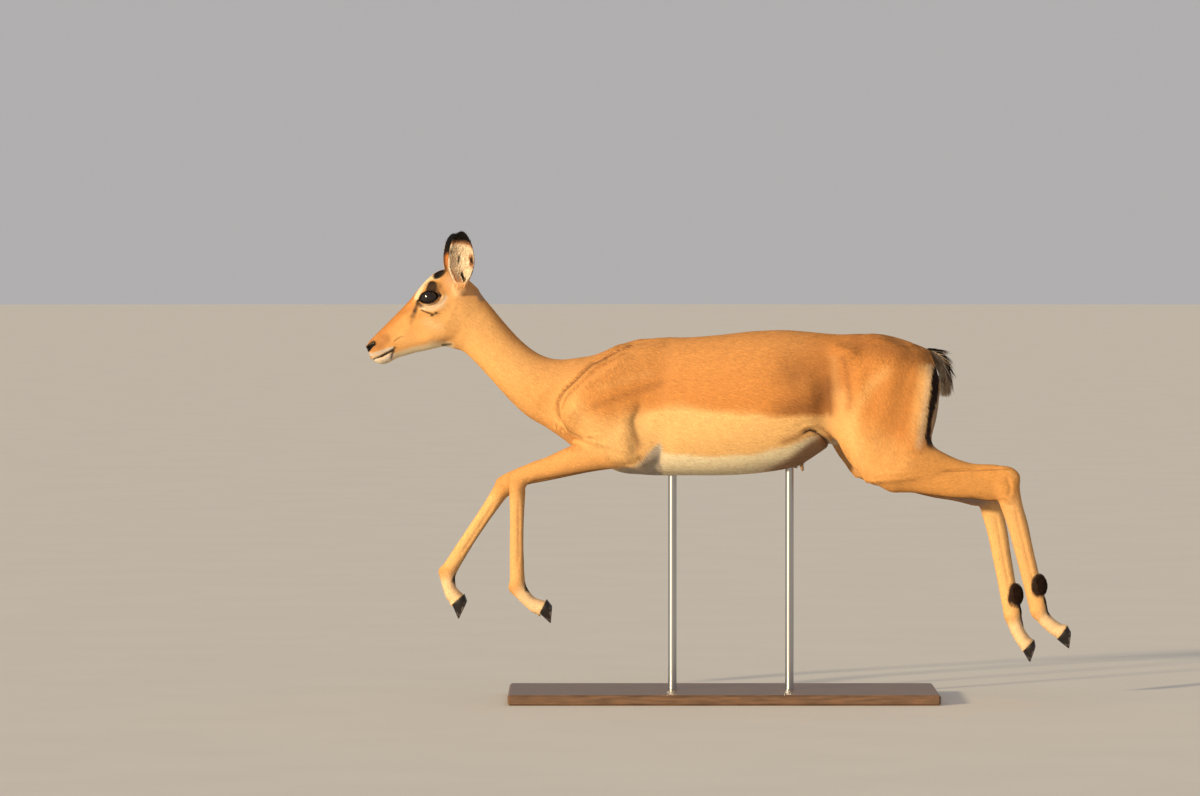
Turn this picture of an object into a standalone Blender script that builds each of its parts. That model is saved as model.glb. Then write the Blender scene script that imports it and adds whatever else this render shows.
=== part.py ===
"""A life-size museum model of a leaping impala ewe (Aepyceros melampus) on a plain display stand.

Frame: metres, +Z up, the animal faces -X and its left side faces -Y. The origin is on the floor,
under the middle of the model. The body is worked out as one signed-distance volume: lofts give the
outline of trunk, neck, head and limbs, and rounded muscles and bones are blended over them. That
volume is meshed once and parted with thin cuts into the pieces that a person would name.
"""

import math

import bmesh
import bpy
import numpy as np
import openvdb
from mathutils import Matrix, Vector

MM = 0.001
VOXEL = 3.2 * MM  # grid step of the body's volume
BAND = 45 * MM  # how far from a surface its distance is kept: no blend is wider
BODY_TRIANGLES = 4200
RING_POINTS = 64  # points round each ring of a loft
RINGS_PER_STATION = 6
GAP = 0.35 * MM  # clear space between neighbouring pieces

# The body's outline is given by stations, in millimetres. Each is one cross-section: an oval between
# two opposite edges, widest at a level from 0 (second edge) to 1 (first edge).
TRUNK = [  # x, back, belly, half width, widest level, roundness of the back
    (-318, 660, 620, 12, 0.45, 2.0),
    (-296, 700, 560, 44, 0.43, 1.9),
    (-272, 711, 520, 60, 0.42, 1.8),
    (-250, 718, 496, 70, 0.42, 1.7),
    (-206, 738, 477, 79, 0.42, 1.6),
    (-164, 755, 472, 88, 0.42, 1.6),
    (-122, 763, 470, 95, 0.42, 1.7),
    (-60, 764, 470, 104, 0.43, 1.9),
    (4, 769, 470, 112, 0.44, 2.0),
    (67, 776, 473, 117, 0.45, 2.0),
    (130, 779, 481, 117, 0.46, 2.0),
    (172, 777, 492, 112, 0.48, 2.0),
    (214, 773, 517, 102, 0.52, 2.0),
    (256, 770, 548, 92, 0.55, 2.0),
    (298, 771, 566, 84, 0.55, 2.0),
    (340, 768, 578, 76, 0.55, 2.0),
    (382, 757, 593, 66, 0.55, 2.0),
    (420, 747, 612, 50, 0.55, 2.0),
    (446, 736, 640, 28, 0.55, 2.0),
]
NECK = [  # x and z of the nape, x and z of the throat, half width
    (-535, 880, -575, 760, 34),
    (-505, 862, -552, 743, 37),
    (-477, 830, -525, 721, 38),
    (-447, 794, -496, 691, 39),
    (-416, 760, -467, 659, 41),
    (-384, 734, -437, 626, 46),
    (-352, 720, -403, 595, 53),
    (-315, 717, -362, 570, 62),
    (-268, 717, -315, 538, 72),
    (-216, 734, -262, 500, 76),
]
HEAD = [  # x and z of the forehead and nose, x and z of the jaw, half width, widest level
    (-512, 862, -520, 782, 14, 0.55),
    (-532, 888, -534, 758, 30, 0.56),
    (-558, 905, -550, 743, 37, 0.60),
    (-584, 903, -570, 743, 41, 0.62),
    (-607, 888, -590, 738, 41, 0.61),
    (-630, 863, -612, 733, 36, 0.58),
    (-649, 839, -633, 729, 31, 0.54),
    (-670, 817, -654, 723, 27, 0.50),
    (-691, 796, -671, 718, 25, 0.47),
    (-710, 777, -688, 710, 24, 0.46),
    (-725, 762, -704, 706, 22, 0.48),
    (-734, 752, -716, 709, 19, 0.50),
    (-739, 742, -730, 716, 13, 0.50),
]
SHOULDER = [  # x and z of the front edge, x and z of the rear edge, y of the middle, half width
    (-196, 728, -130, 730, 24, 14),
    (-232, 707, -130, 704, 38, 26),
    (-262, 692, -132, 676, 47, 32),
    (-292, 676, -136, 648, 51, 36),
    (-320, 645, -142, 615, 54, 38),
    (-335, 612, -148, 578, 56, 38),
    (-330, 582, -152, 545, 58, 38),
    (-308, 560, -156, 516, 60, 36),
]
THIGH = [
    (318, 752, 400, 742, 36, 26),
    (276, 722, 446, 712, 48, 42),
    (256, 680, 464, 672, 54, 46),
    (249, 630, 463, 630, 58, 47),
    (240, 590, 457, 590, 62, 46),
    (244, 556, 447, 552, 66, 43),
    (258, 522, 447, 526, 70, 40),
    (280, 490, 455, 506, 72, 37),
    (306, 462, 440, 480, 74, 33),
]
# The far thigh swings further forward than the near one: its stations shift by this at the stifle.
FAR_STIFLE_SHIFT = (-16, 6)
THIGH_TOP, THIGH_END = 700, 480

# Joints of each leg, x, y and z, from the body down. y is the distance from the middle plane.
NEAR_FORELEG = [(-190, 62, 524), (-421, 58, 465), (-422, 54, 242), (-369, 52, 196)]
FAR_FORELEG = [(-192, 62, 520), (-448, 58, 450), (-569, 54, 267), (-549, 52, 210)]
NEAR_HINDLEG = [(361, 73, 478), (604, 62, 454), (671, 54, 190), (719, 52, 146)]
FAR_HINDLEG = [(333, 73, 488), (573, 62, 436), (622, 54, 175), (654, 52, 112)]
# Sections of a leg: bone (0 is the upper one), place along it from 0 to 1, reach in front of the
# bone's axis, reach behind it, half width.
FORELEG = [
    (0, -0.30, 36, 14, 14),
    (0, -0.18, 56, 30, 28),
    (0, -0.05, 58, 34, 33),
    (0, 0.10, 55, 31, 33),
    (0, 0.30, 49, 24, 31),
    (0, 0.50, 41, 20, 28),
    (0, 0.67, 33, 17, 24),
    (0, 0.85, 29, 14, 20),
    (0, 1.00, 21, 25, 19.5),
    (1, 0.08, 19, 19, 19),
    (1, 0.18, 17, 17, 16),
    (1, 0.35, 16, 15, 13),
    (1, 0.60, 16, 14, 12),
    (1, 0.80, 16, 15.5, 13),
    (1, 0.92, 16, 17, 16),
    (1, 1.00, 19, 20, 18),
    (2, 0.30, 21, 11, 16.5),
    (2, 0.60, 22, 7, 16),
    (2, 0.85, 22, 13, 17.5),
    (2, 1.00, 19, 18, 19),
    (2, 1.25, 19, 18, 19),
]
HINDLEG = [
    (0, -0.16, 8, 40, 14),
    (0, -0.09, 27, 64, 28),
    (0, 0.02, 39, 80, 35),
    (0, 0.20, 36, 68, 35),
    (0, 0.36, 37, 57, 33),
    (0, 0.54, 38, 41, 28),
    (0, 0.71, 36, 38, 23),
    (0, 0.88, 38, 40, 20),
    (0, 1.00, 45, 35, 19.5),
    (1, 0.08, 29, 25, 18.5),
    (1, 0.18, 25, 22, 17),
    (1, 0.33, 21, 23, 15),
    (1, 0.50, 20, 21, 14),
    (1, 0.68, 19, 20, 13.5),
    (1, 0.82, 19, 19, 14.5),
    (1, 0.93, 19, 21, 17.5),
    (1, 1.00, 19, 21, 19.5),
    (2, 0.25, 20, 13, 17),
    (2, 0.50, 21, 10, 16.5),
    (2, 0.80, 20, 12, 17.5),
    (2, 1.00, 18, 19, 19),
    (2, 1.25, 18, 19, 19),
]
JOINT_TURN = 0.15  # share of a bone over which its sections turn to meet the next bone

# Muscles and bones that show, as ovals: x, y and z of each end, half width across, half depth, and
# the blend. y is the distance from the middle plane: they are on both sides of the body.
SHOULDER_MUSCLES = [
    (-214, 34, 728, -320, 68, 618, 14, 20, 20),  # in front of the shoulder blade's spine
    (-168, 38, 722, -292, 70, 606, 15, 24, 22),  # behind it
    (-324, 74, 606, -300, 78, 576, 14, 18, 20),  # point of the shoulder
    (-196, 52, 690, -202, 75, 540, 18, 30, 24),  # long head of the triceps
    (-292, 78, 584, -196, 80, 518, 14, 22, 20),  # lateral head of the triceps
    (-188, 66, 506, -166, 66, 496, 13, 12, 14),  # point of the elbow
]
HIP_MUSCLES = [
    (248, 64, 732, 276, 70, 720, 12, 11, 30),  # hip bone
    (276, 72, 704, 318, 82, 520, 20, 24, 32),  # front of the thigh
    (340, 52, 724, 384, 82, 540, 22, 40, 36),  # side of the thigh
    (418, 40, 706, 412, 74, 560, 18, 18, 30),  # back of the thigh
    (424, 34, 716, 438, 30, 690, 11, 10, 20),  # sitting bone
]
LOWER_MUSCLES = [
    (338, 80, 500, 364, 80, 462, 13, 12, 20),  # kneecap
    (364, 80, 474, 530, 74, 446, 12, 18, 20),  # shin muscle
    (400, 76, 520, 510, 68, 484, 16, 18, 20),  # calf
    (588, 73, 456, 606, 72, 428, 8, 12, 12),  # outer ankle bone
    (592, 66, 482, 612, 64, 480, 9, 9, 12),  # point of the hock
]
HOLLOWS = [
    (170, 130, 722, 226, 124, 690, 20, 28, 44),  # below the loin
    (226, 117, 684, 236, 117, 604, 18, 14, 34),  # in front of the thigh
    (268, 121, 700, 270, 125, 640, 14, 10, 30),  # between hip and thigh
    (404, 122, 676, 366, 142, 540, 14, 9, 44),  # between side and back of the thigh
    (-164, 116, 616, -158, 113, 520, 18, 15, 32),  # behind the triceps
    (-124, 121, 560, -116, 117, 505, 18, 14, 36),  # behind the elbow
    (-380, 76, 560, -330, 82, 640, 16, 20, 34),  # between neck and shoulder
    (-302, 94, 672, -234, 74, 720, 13, 9, 16),  # behind the edge of the neck
]
CALF_HOLLOW = (470, 104, 478, 580, 94, 474, 11, 6, 9)  # in front of the Achilles tendon

# The head's bones and muscles, in the same way.
HEAD_SHAPES = [
    (-617, 29, 845, -592, 31, 849, 18, 26, 14),  # eye socket
    (-614, 34, 862, -588, 36, 869, 10, 8, 10),  # brow
    (-650, 26, 808, -578, 34, 826, 9, 8, 16),  # cheekbone
    (-606, 22, 786, -572, 24, 792, 14, 30, 20),  # chewing muscle
    (-722, 10, 738, -708, 10, 738, 12, 12, 12),  # upper lip
    (-714, 4, 720, -694, 6, 720, 12, 10, 10),  # lower lip
]
HEAD_HOLLOWS = [
    (-576, 54, 874, -560, 50, 862, 10, 12, 14),  # temple
    (-652, 50, 832, -638, 54, 822, 12, 8, 12),  # in front of the eye
    (-690, 37, 764, -660, 41, 790, 12, 9, 14),  # side of the nose
    (-640, 46, 760, -620, 52, 764, 12, 12, 20),  # in front of the chewing muscle
]
NOSTRIL = (-726, 18, 746, -734, 14, 738, 5, 4.5, 4)
EYE_CENTRE = (-606, 37.2, 845.8)
EYE_RADIUS = 18.4

# Where the body is parted. Each plane is a point and the direction out of the piece, x, y and z,
# with y and its direction given for the right side.
HEAD_PLANES = [((-528, 0, 808), (0.933, 0, -0.36)), ((0, 0, 690), (0, 0, -1))]
LIP_PLANES = [((-704, 0, 725), (-0.36, 0, 0.933)), ((-675, 0, 720), (0.98, 0, 0.2))]
NECK_PLANES = [((-342, 0, 645), (0.97, 0, -0.2425)), ((0, 0, 550), (0, 0, -1))]
FORELEG_PLANES = [((-230, 50, 526), (0.265, -0.723, 0.638)), ((0, 8, 0), (0, -1, 0)), ((-100, 0, 0), (1, 0, 0))]
HINDLEG_PLANES = [((330, 60, 632), (-0.232, -0.757, 0.61)), ((0, 8, 0), (0, -1, 0)), ((226, 0, 0), (-1, 0, 0))]

# Feet, as x and z in the side view: front and back of the coronet, toe, heel.
FEET = {
    "foreleg_left": ((-375, 185), (-360, 214), (-351, 163), (-348, 199)),
    "foreleg_right": ((-560, 198), (-534, 220), (-546, 166), (-528, 204)),
    "hindleg_left": ((709, 130), (730, 159), (734, 110), (738, 146)),
    "hindleg_right": ((643, 100), (667, 124), (658, 75), (670, 110)),
}
CLAW_HALF = 11.3  # half width of one claw
CLAW_RING_POINTS = 12
CLAW_SPREAD = 11.9  # from the middle of the foot to the middle of a claw

NEAR, FAR = -1, 1  # the animal's left side, at -Y, and its right side

# The dark scent glands behind the hind cannon bones: place along the bones, reach behind their axes.
GLAND_PLACES = {NEAR: 0.805, FAR: 0.84}
GLAND_RADII = (25, 19, 19)  # along the bone, across, fore and aft
GLAND_BEHIND = 14

# Ears: base on the head, tip, x, y and z. The hollow side looks out and a little forward.
EAR_BASE = (-536, 30, 874)
EAR_TIP = (-534, 98, 983)
EAR_HALF_WIDTH = 30.5
FAR_EAR_AHEAD = (7, 19)  # how far the base and the tip of the far ear are in front of the near one's
EAR_THICK = (5.5, 3.2)  # at the base and the tip
EAR_SHAPE = [  # place from base to tip, share of the width, half of the arc in degrees
    (0.00, 0.44, 128),
    (0.15, 0.63, 114),
    (0.30, 0.88, 94),
    (0.48, 1.00, 74),
    (0.66, 0.93, 62),
    (0.82, 0.74, 52),
    (0.93, 0.51, 46),
    (0.97, 0.37, 42),
    (1.00, 0.21, 38),
]
EAR_ARC_POINTS = 9

TAIL_RING_POINTS = 14
TAIL = [  # x and z of the front edge, x and z of the rear edge, half width
    (424, 722, 432, 738, 9),
    (440, 716, 453, 740, 11),
    (452, 706, 472, 727, 12),
    (460, 692, 484, 706, 15),
    (464, 673, 489, 680, 16),
    (467, 656, 487, 659, 14),
    (471, 642, 483, 643, 8),
]

BASE_SIZE = (900, 400, 22)
BASE_MIDDLE = 10
ROD_RADIUS = 9
ROD_PLACES = (-96, 150)  # x of the two rods
ROD_IN_BODY = 14
ROD_IN_BASE = 12

# Colour, roughness and metallic value of the pieces whose names hold each word, the first that fits.
LOOKS = {
    "hoof": ((0.03, 0.028, 0.026), 0.5, 0),
    "gland": ((0.018, 0.012, 0.009), 0.8, 0),
    "eye": ((0.012, 0.008, 0.006), 0.08, 0),
    "ear": ((0.62, 0.46, 0.30), 0.8, 0),
    "lip": ((0.72, 0.62, 0.48), 0.8, 0),
    "tail": ((0.30, 0.17, 0.08), 0.85, 0),
    "pastern": ((0.66, 0.45, 0.25), 0.8, 0),
    "base": ((0.30, 0.19, 0.11), 0.45, 0),
    "rod": ((0.55, 0.55, 0.54), 0.35, 1),
    "trunk": ((0.50, 0.26, 0.10), 0.8, 0),
    "": ((0.58, 0.33, 0.15), 0.8, 0),
}


def smooth_rows(rows, steps):
    """Rows of numbers with Catmull-Rom rows put between them."""
    rows = np.array(rows, float)
    ends = np.vstack([2 * rows[0] - rows[1], rows, 2 * rows[-1] - rows[-2]])
    found = []
    for i in range(len(rows) - 1):
        before, start, end, after = ends[i : i + 4]
        for t in np.linspace(0, 1, steps, endpoint=False):
            found.append(
                0.5 * (2 * start + (end - before) * t)
                + 0.5 * (2 * before - 5 * start + 4 * end - after) * t**2
                + 0.5 * (3 * start - before - 3 * end + after) * t**3
            )
    return np.vstack([found, rows[-1]])


def oval(first, second, y, half, widest=0.5, power=2.0, count=RING_POINTS):
    """A ring between two edges, (x, z), in millimetres. The result is in metres."""
    turn = np.linspace(0, 2 * math.pi, count, endpoint=False)
    across, along = np.sin(turn), np.cos(turn)
    power = np.where(along > 0, power, 2.0)
    reach = np.where(along > 0, 1 - widest, widest)
    level = widest + reach * np.sign(along) * np.abs(along) ** (2 / power)
    width = np.sign(across) * np.abs(across) ** (2 / power) * half
    x = second[0] + (first[0] - second[0]) * level
    z = second[1] + (first[1] - second[1]) * level
    return np.stack([x, y + width, z], axis=1) * MM


def trunk_loft():
    rows = smooth_rows(TRUNK, RINGS_PER_STATION)
    return skin_of([oval((x, back), (x, belly), 0, half, level, power) for x, back, belly, half, level, power in rows])


def neck_loft():
    rows = smooth_rows(NECK, RINGS_PER_STATION)
    return skin_of([oval(row[:2], row[2:4], 0, row[4], 0.45, 1.8) for row in rows])


def head_loft():
    rows = smooth_rows(HEAD, RINGS_PER_STATION)
    return skin_of([oval(row[:2], row[2:4], 0, row[4], row[5], 2.3) for row in rows])


def limb_top_loft(stations, side):
    """The shoulder or the thigh."""
    rows = smooth_rows(stations, RINGS_PER_STATION)
    return skin_of([oval(row[:2], row[2:4], side * row[4], row[5]) for row in rows])


def leg_loft(joints, sections, side):
    """A leg from elbow or stifle to the hoof: sections square to the bones, turning at each joint."""
    joints = np.array(joints, float)
    steps = np.diff(joints, axis=0)
    angles = np.unwrap(np.arctan2(steps[:, 2], steps[:, 0]))
    rows = []
    for bone, place, front, rear, half in sections:
        x, y, z = joints[bone] + steps[bone] * place
        angle = angles[bone]
        if place > 1 - JOINT_TURN and bone < len(steps) - 1:
            angle += (angles[bone + 1] - angle) * (place - 1 + JOINT_TURN) / (2 * JOINT_TURN)
        if place < JOINT_TURN and bone > 0:
            angle += (angles[bone - 1] - angle) * (JOINT_TURN - place) / (2 * JOINT_TURN)
        ahead = np.array([math.sin(angle), -math.cos(angle)])
        rows.append([*(np.array([x, z]) + ahead * front), *(np.array([x, z]) - ahead * rear), side * y, half])
    rows = smooth_rows(rows, RINGS_PER_STATION)
    return skin_of([oval(row[:2], row[2:4], row[4], row[5], power=2.2) for row in rows])


def thigh_stations(side):
    """The thigh's stations, swung forward on the far side."""
    if side == NEAR:
        return THIGH
    rows = []
    for x1, z1, x2, z2, y, half in THIGH:
        swing1, swing2 = ((THIGH_TOP - z) / (THIGH_TOP - THIGH_END) for z in (z1, z2))
        swing1, swing2 = max(swing1, 0), max(swing2, 0) * 0.4
        dx, dz = FAR_STIFLE_SHIFT
        rows.append((x1 + dx * swing1, z1 + dz * swing1, x2 + dx * swing2, z2, y, half))
    return rows


def skin_of(rings):
    """(points, triangles) of the closed shape through rings of equal length."""
    count, around = len(rings), len(rings[0])
    points = np.vstack([*rings, rings[0].mean(0), rings[-1].mean(0)])
    i, j = np.meshgrid(np.arange(count - 1), np.arange(around), indexing="ij")
    a, b = i * around + j, i * around + (j + 1) % around
    c, d = a + around, b + around
    sides = np.concatenate([np.stack([a, b, d], -1).reshape(-1, 3), np.stack([a, d, c], -1).reshape(-1, 3)])
    k = np.arange(around)
    k2 = (k + 1) % around
    first = np.stack([np.full(around, count * around), k2, k], -1)
    last_start = (count - 1) * around
    last = np.stack([np.full(around, count * around + 1), last_start + k, last_start + k2], -1)
    return points, np.concatenate([sides, first, last])


class Volume:
    """A signed distance on a grid: negative inside."""

    def __init__(self, low, high, voxel):
        self.voxel = voxel
        self.first = np.floor(np.array(low) * MM / voxel).astype(int)
        size = np.ceil(np.array(high) * MM / voxel).astype(int) - self.first
        self.grid = np.full(size, BAND, np.float32)

    def part_of(self, low, high):
        """The slices of the grid over a box given in voxels, and the box's first voxel."""
        low = np.maximum(low, self.first)
        high = np.minimum(high, self.first + self.grid.shape)
        return tuple(slice(a, b) for a, b in zip(low - self.first, high - self.first)), low

    def mix(self, part, other, blend, carve):
        """Joins another distance to this one, or carves it away, with a rounded seam."""
        mine = self.grid[part]
        if carve:
            mine, other = -mine, other
        overlap = np.maximum(blend - np.abs(mine - other), 0)
        both = np.minimum(mine, other) - overlap**2 / (4 * blend)
        self.grid[part] = -both if carve else both

    def add(self, shape, blend):
        """Joins a closed mesh, (points, triangles)."""
        points, triangles = shape
        reach = BAND / self.voxel
        made = openvdb.FloatGrid.createLevelSetFromPolygons(
            points.astype(np.float32),
            triangles.astype(np.uint32),
            transform=openvdb.createLinearTransform(self.voxel),
            halfWidth=float(reach),
        )
        low = np.floor(points.min(0) / self.voxel - reach - 1).astype(int)
        high = np.ceil(points.max(0) / self.voxel + reach + 2).astype(int)
        part, first = self.part_of(low, high)
        other = np.empty(self.grid[part].shape, np.float32)
        made.copyToArray(other, ijk=tuple(int(n) for n in first))
        self.mix(part, other, blend, False)

    def add_oval(self, row, side, shift=(0, 0), end_shift=None, carve=False):
        """Joins a long oval between two places, on one side of the body, or carves it away."""
        x1, y1, z1, x2, y2, z2, half, depth, blend = row
        end_shift = end_shift or shift
        start = Vector((x1 + shift[0], side * y1, z1 + shift[1])) * MM
        end = Vector((x2 + end_shift[0], side * y2, z2 + end_shift[1])) * MM
        along = (end - start).normalized()
        across = (Vector((0, 1, 0)) - along * along.y).normalized()
        turn = Matrix((along, across, along.cross(across)))
        long = (end - start).length / 2 + depth * MM * 0.6
        self.add_ellipsoid((start + end) / 2, (long, half * MM, depth * MM), turn, blend * MM, carve)

    def add_ellipsoid(self, centre, radii, turn, blend, carve=False):
        """Joins an ellipsoid whose axes are the rows of turn, or carves it away."""
        centre, radii = np.array(centre), np.array(radii)
        reach = radii.max() + BAND
        low = np.floor((centre - reach) / self.voxel).astype(int)
        high = np.ceil((centre + reach) / self.voxel).astype(int) + 1
        part, first = self.part_of(low, high)
        axes = [(np.arange(n) + f) * self.voxel - c for n, f, c in zip(self.grid[part].shape, first, centre)]
        x, y, z = np.meshgrid(*axes, indexing="ij", sparse=True)
        u, v, w = (row[0] * x + row[1] * y + row[2] * z for row in turn)
        near = np.sqrt((u / radii[0]) ** 2 + (v / radii[1]) ** 2 + (w / radii[2]) ** 2)
        steep = np.sqrt((u / radii[0] ** 2) ** 2 + (v / radii[1] ** 2) ** 2 + (w / radii[2] ** 2) ** 2)
        other = near * (near - 1) / np.maximum(steep, 1e-6)
        self.mix(part, other.astype(np.float32), blend, carve)

    def mesh(self, level=0.0):
        """(points, quads) of the surface where the distance is level."""
        made = openvdb.FloatGrid(1.0)
        made.transform = openvdb.createLinearTransform(self.voxel)
        made.copyFromArray(self.grid, ijk=tuple(int(n) for n in self.first))
        made.background = float(self.grid.max())
        return made.convertToQuads(level)


def along_hindleg(x, z):
    """How far the far hind leg is from the near one at a place of the near one, in x and z."""
    (stifle, _, stifle_z), (hock, _, hock_z) = NEAR_HINDLEG[:2]
    place = min(max((x - stifle) / (hock - stifle), 0), 1)
    dx = (FAR_HINDLEG[0][0] - stifle) * (1 - place) + (FAR_HINDLEG[1][0] - hock) * place
    dz = (FAR_HINDLEG[0][2] - stifle_z) * (1 - place) + (FAR_HINDLEG[1][2] - hock_z) * place
    return dx, dz


def add_leg_muscle(body, row, side, carve=False):
    """A muscle below the stifle, which goes along with the leg's pose."""
    shifts = [(0, 0), (0, 0)]
    if side == FAR:
        shifts = [along_hindleg(row[0], row[2]), along_hindleg(row[3], row[5])]
    body.add_oval(row, side, *shifts, carve=carve)


def gland(hindleg, side):
    """The oval of a scent gland's tuft: centre, radii and turn."""
    hock, fetlock = Vector(hindleg[1]), Vector(hindleg[2])
    along = (fetlock - hock).normalized()
    along = Vector((along.x, 0, along.z)).normalized()
    behind = Vector((-along.z, 0, along.x))
    centre = hock.lerp(fetlock, GLAND_PLACES[side]) + behind * GLAND_BEHIND
    centre.y *= side
    return centre * MM, along, behind


def body_volume(voxel):
    """The whole animal without its hooves, ears, eyes and tail."""
    body = Volume((-760, -150, 60), (780, 150, 930), voxel)
    body.add(trunk_loft(), 1 * MM)
    body.add(neck_loft(), 40 * MM)
    body.add(head_loft(), 26 * MM)
    for side, foreleg, hindleg in ((NEAR, NEAR_FORELEG, NEAR_HINDLEG), (FAR, FAR_FORELEG, FAR_HINDLEG)):
        body.add(limb_top_loft(SHOULDER, side), 42 * MM)
        body.add(leg_loft(foreleg, FORELEG, side), 18 * MM)
        body.add(limb_top_loft(thigh_stations(side), side), 36 * MM)
        body.add(leg_loft(hindleg, HINDLEG, side), 24 * MM)
        for row in SHOULDER_MUSCLES:
            body.add_oval(row, side)
        for row in HIP_MUSCLES:
            swings = side == FAR and row[5] < THIGH_TOP
            body.add_oval(row, side, (0, 0), FAR_STIFLE_SHIFT if swings else (0, 0))
        for row in LOWER_MUSCLES:
            add_leg_muscle(body, row, side)
        for row in HOLLOWS:
            body.add_oval(row, side, carve=True)
        add_leg_muscle(body, CALF_HOLLOW, side, carve=True)
        centre, along, behind = gland(hindleg, side)
        turn = (along, Vector((0, 1, 0)), behind)
        body.add_ellipsoid(centre, np.array(GLAND_RADII) * MM, turn, 5 * MM)
        for row in HEAD_SHAPES:
            body.add_oval(row, side)
        for row in (*HEAD_HOLLOWS, NOSTRIL):
            body.add_oval(row, side, carve=True)
    return body


def new_object(name, points, faces):
    mesh = bpy.data.meshes.new(name)
    mesh.from_pydata([tuple(p) for p in points], [], [tuple(f) for f in faces])
    found = bpy.data.objects.new(name, mesh)
    bpy.context.scene.collection.objects.link(found)
    face_out(found)
    return found


def face_out(found):
    """Turns a closed mesh's faces to look outward."""
    shape = bmesh.new()
    shape.from_mesh(found.data)
    bmesh.ops.recalc_face_normals(shape, faces=shape.faces)
    if shape.calc_volume(signed=True) < 0:
        bmesh.ops.reverse_faces(shape, faces=shape.faces)
    shape.to_mesh(found.data)
    shape.free()


def settle(found):
    """Makes an object's modifiers part of its mesh."""
    scene = bpy.context.evaluated_depsgraph_get()
    mesh = bpy.data.meshes.new_from_object(found.evaluated_get(scene))
    found.modifiers.clear()
    old = found.data
    found.data = mesh
    bpy.data.meshes.remove(old)


def copy_of(found, name):
    copy = found.copy()
    copy.data = found.data.copy()
    copy.name = name
    bpy.context.scene.collection.objects.link(copy)
    return copy


def boolean(found, cutter, operation):
    modifier = found.modifiers.new(operation.lower(), "BOOLEAN")
    modifier.operation = operation
    modifier.object = cutter
    settle(found)


def take_out(found, cutter):
    """Cuts one shape out of a piece, and lets the cutter go."""
    boolean(found, cutter, "DIFFERENCE")
    bpy.data.objects.remove(cutter)


def region(planes, side, grow):
    """A large box trimmed by planes: each is a point and the direction out of the box."""
    shape = bmesh.new()
    bmesh.ops.create_cube(shape, size=4)
    for point, out in planes:
        point = Vector((point[0], side * point[1], point[2])) * MM
        out = Vector((out[0], side * out[1], out[2])).normalized()
        cut = bmesh.ops.bisect_plane(
            shape,
            geom=[*shape.verts, *shape.edges, *shape.faces],
            plane_co=point + out * grow,
            plane_no=out,
            clear_outer=True,
        )
        edges = [e for e in cut["geom_cut"] if isinstance(e, bmesh.types.BMEdge)]
        bmesh.ops.contextual_create(shape, geom=edges)
    mesh = bpy.data.meshes.new("cutter")
    shape.to_mesh(mesh)
    shape.free()
    found = bpy.data.objects.new("cutter", mesh)
    bpy.context.scene.collection.objects.link(found)
    face_out(found)
    return found


def part_off(rest, name, planes, side=FAR):
    """Cuts the piece inside the planes off the rest, with a clear gap, and returns it."""
    piece = copy_of(rest, name)
    inside = region(planes, side, 0)
    boolean(piece, inside, "INTERSECT")
    bpy.data.objects.remove(inside)
    take_out(rest, region(planes, side, GAP))
    return piece


def joint_plane(joints, number):
    """The plane across a leg at a joint, facing up the leg."""
    above, here, below = (Vector(joints[number + i]) for i in (-1, 0, 1))
    out = (above - here).normalized() + (here - below).normalized()
    return (here.x, 0, here.z), (out.x, 0, out.z)


def coronet_plane(foot):
    """The plane between a pastern and its hoof, facing down."""
    (x1, z1), (x2, z2) = FEET[foot][:2]
    return (x1, 0, z1), (z2 - z1, 0, x1 - x2)


def part_leg(body, foot, joints, planes, side):
    """Cuts one leg off the body, and cuts it at its joints."""
    upper = part_off(body, foot + "_upper", planes, side)
    cannon = part_off(upper, foot + "_cannon", [joint_plane(joints, 1)])
    pastern = part_off(cannon, foot + "_pastern", [joint_plane(joints, 2)])
    point, out = coronet_plane(foot)
    take_out(pastern, region([(point, (-out[0], 0, -out[2]))], FAR, 0))
    return upper, cannon, pastern


def part_gland(cannon, name, hindleg, side):
    """Cuts the scent gland's tuft off the back of a cannon."""
    centre, along, behind = gland(hindleg, side)
    half = along * (GLAND_RADII[0] + 1) * MM
    front = centre - behind * (GLAND_BEHIND + 3) * MM
    planes = [(centre + half, along), (centre - half, -along), (front, -behind)]
    planes = [((p.x / MM, 0, p.z / MM), (n.x, 0, n.z)) for p, n in planes]
    return part_off(cannon, name, planes)


def claw(name, foot, joints, side, place):
    """One claw of a hoof: a wedge from the coronet to the sole."""
    front, rear, toe, heel = (np.array(p, float) for p in FEET[foot])
    down = np.array(coronet_plane(foot)[1])[[0, 2]]
    down = down / np.linalg.norm(down)
    front, rear = front + down * GAP / MM, rear + down * GAP / MM
    middle = side * joints[3][1] + place * CLAW_SPREAD
    rings = []
    for share in np.linspace(0, 1, 4):
        first, second = front + (toe - front) * share, rear + (heel - rear) * share
        bulge = 1 + 0.10 * math.sin(math.pi * share)
        half = CLAW_HALF * bulge * (1 - 0.12 * share)
        rings.append(oval(first, second, middle, half, 0.42 - 0.12 * share, 2 - 0.6 * share, CLAW_RING_POINTS))
    return new_object(name, *skin_of(rings))


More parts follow.
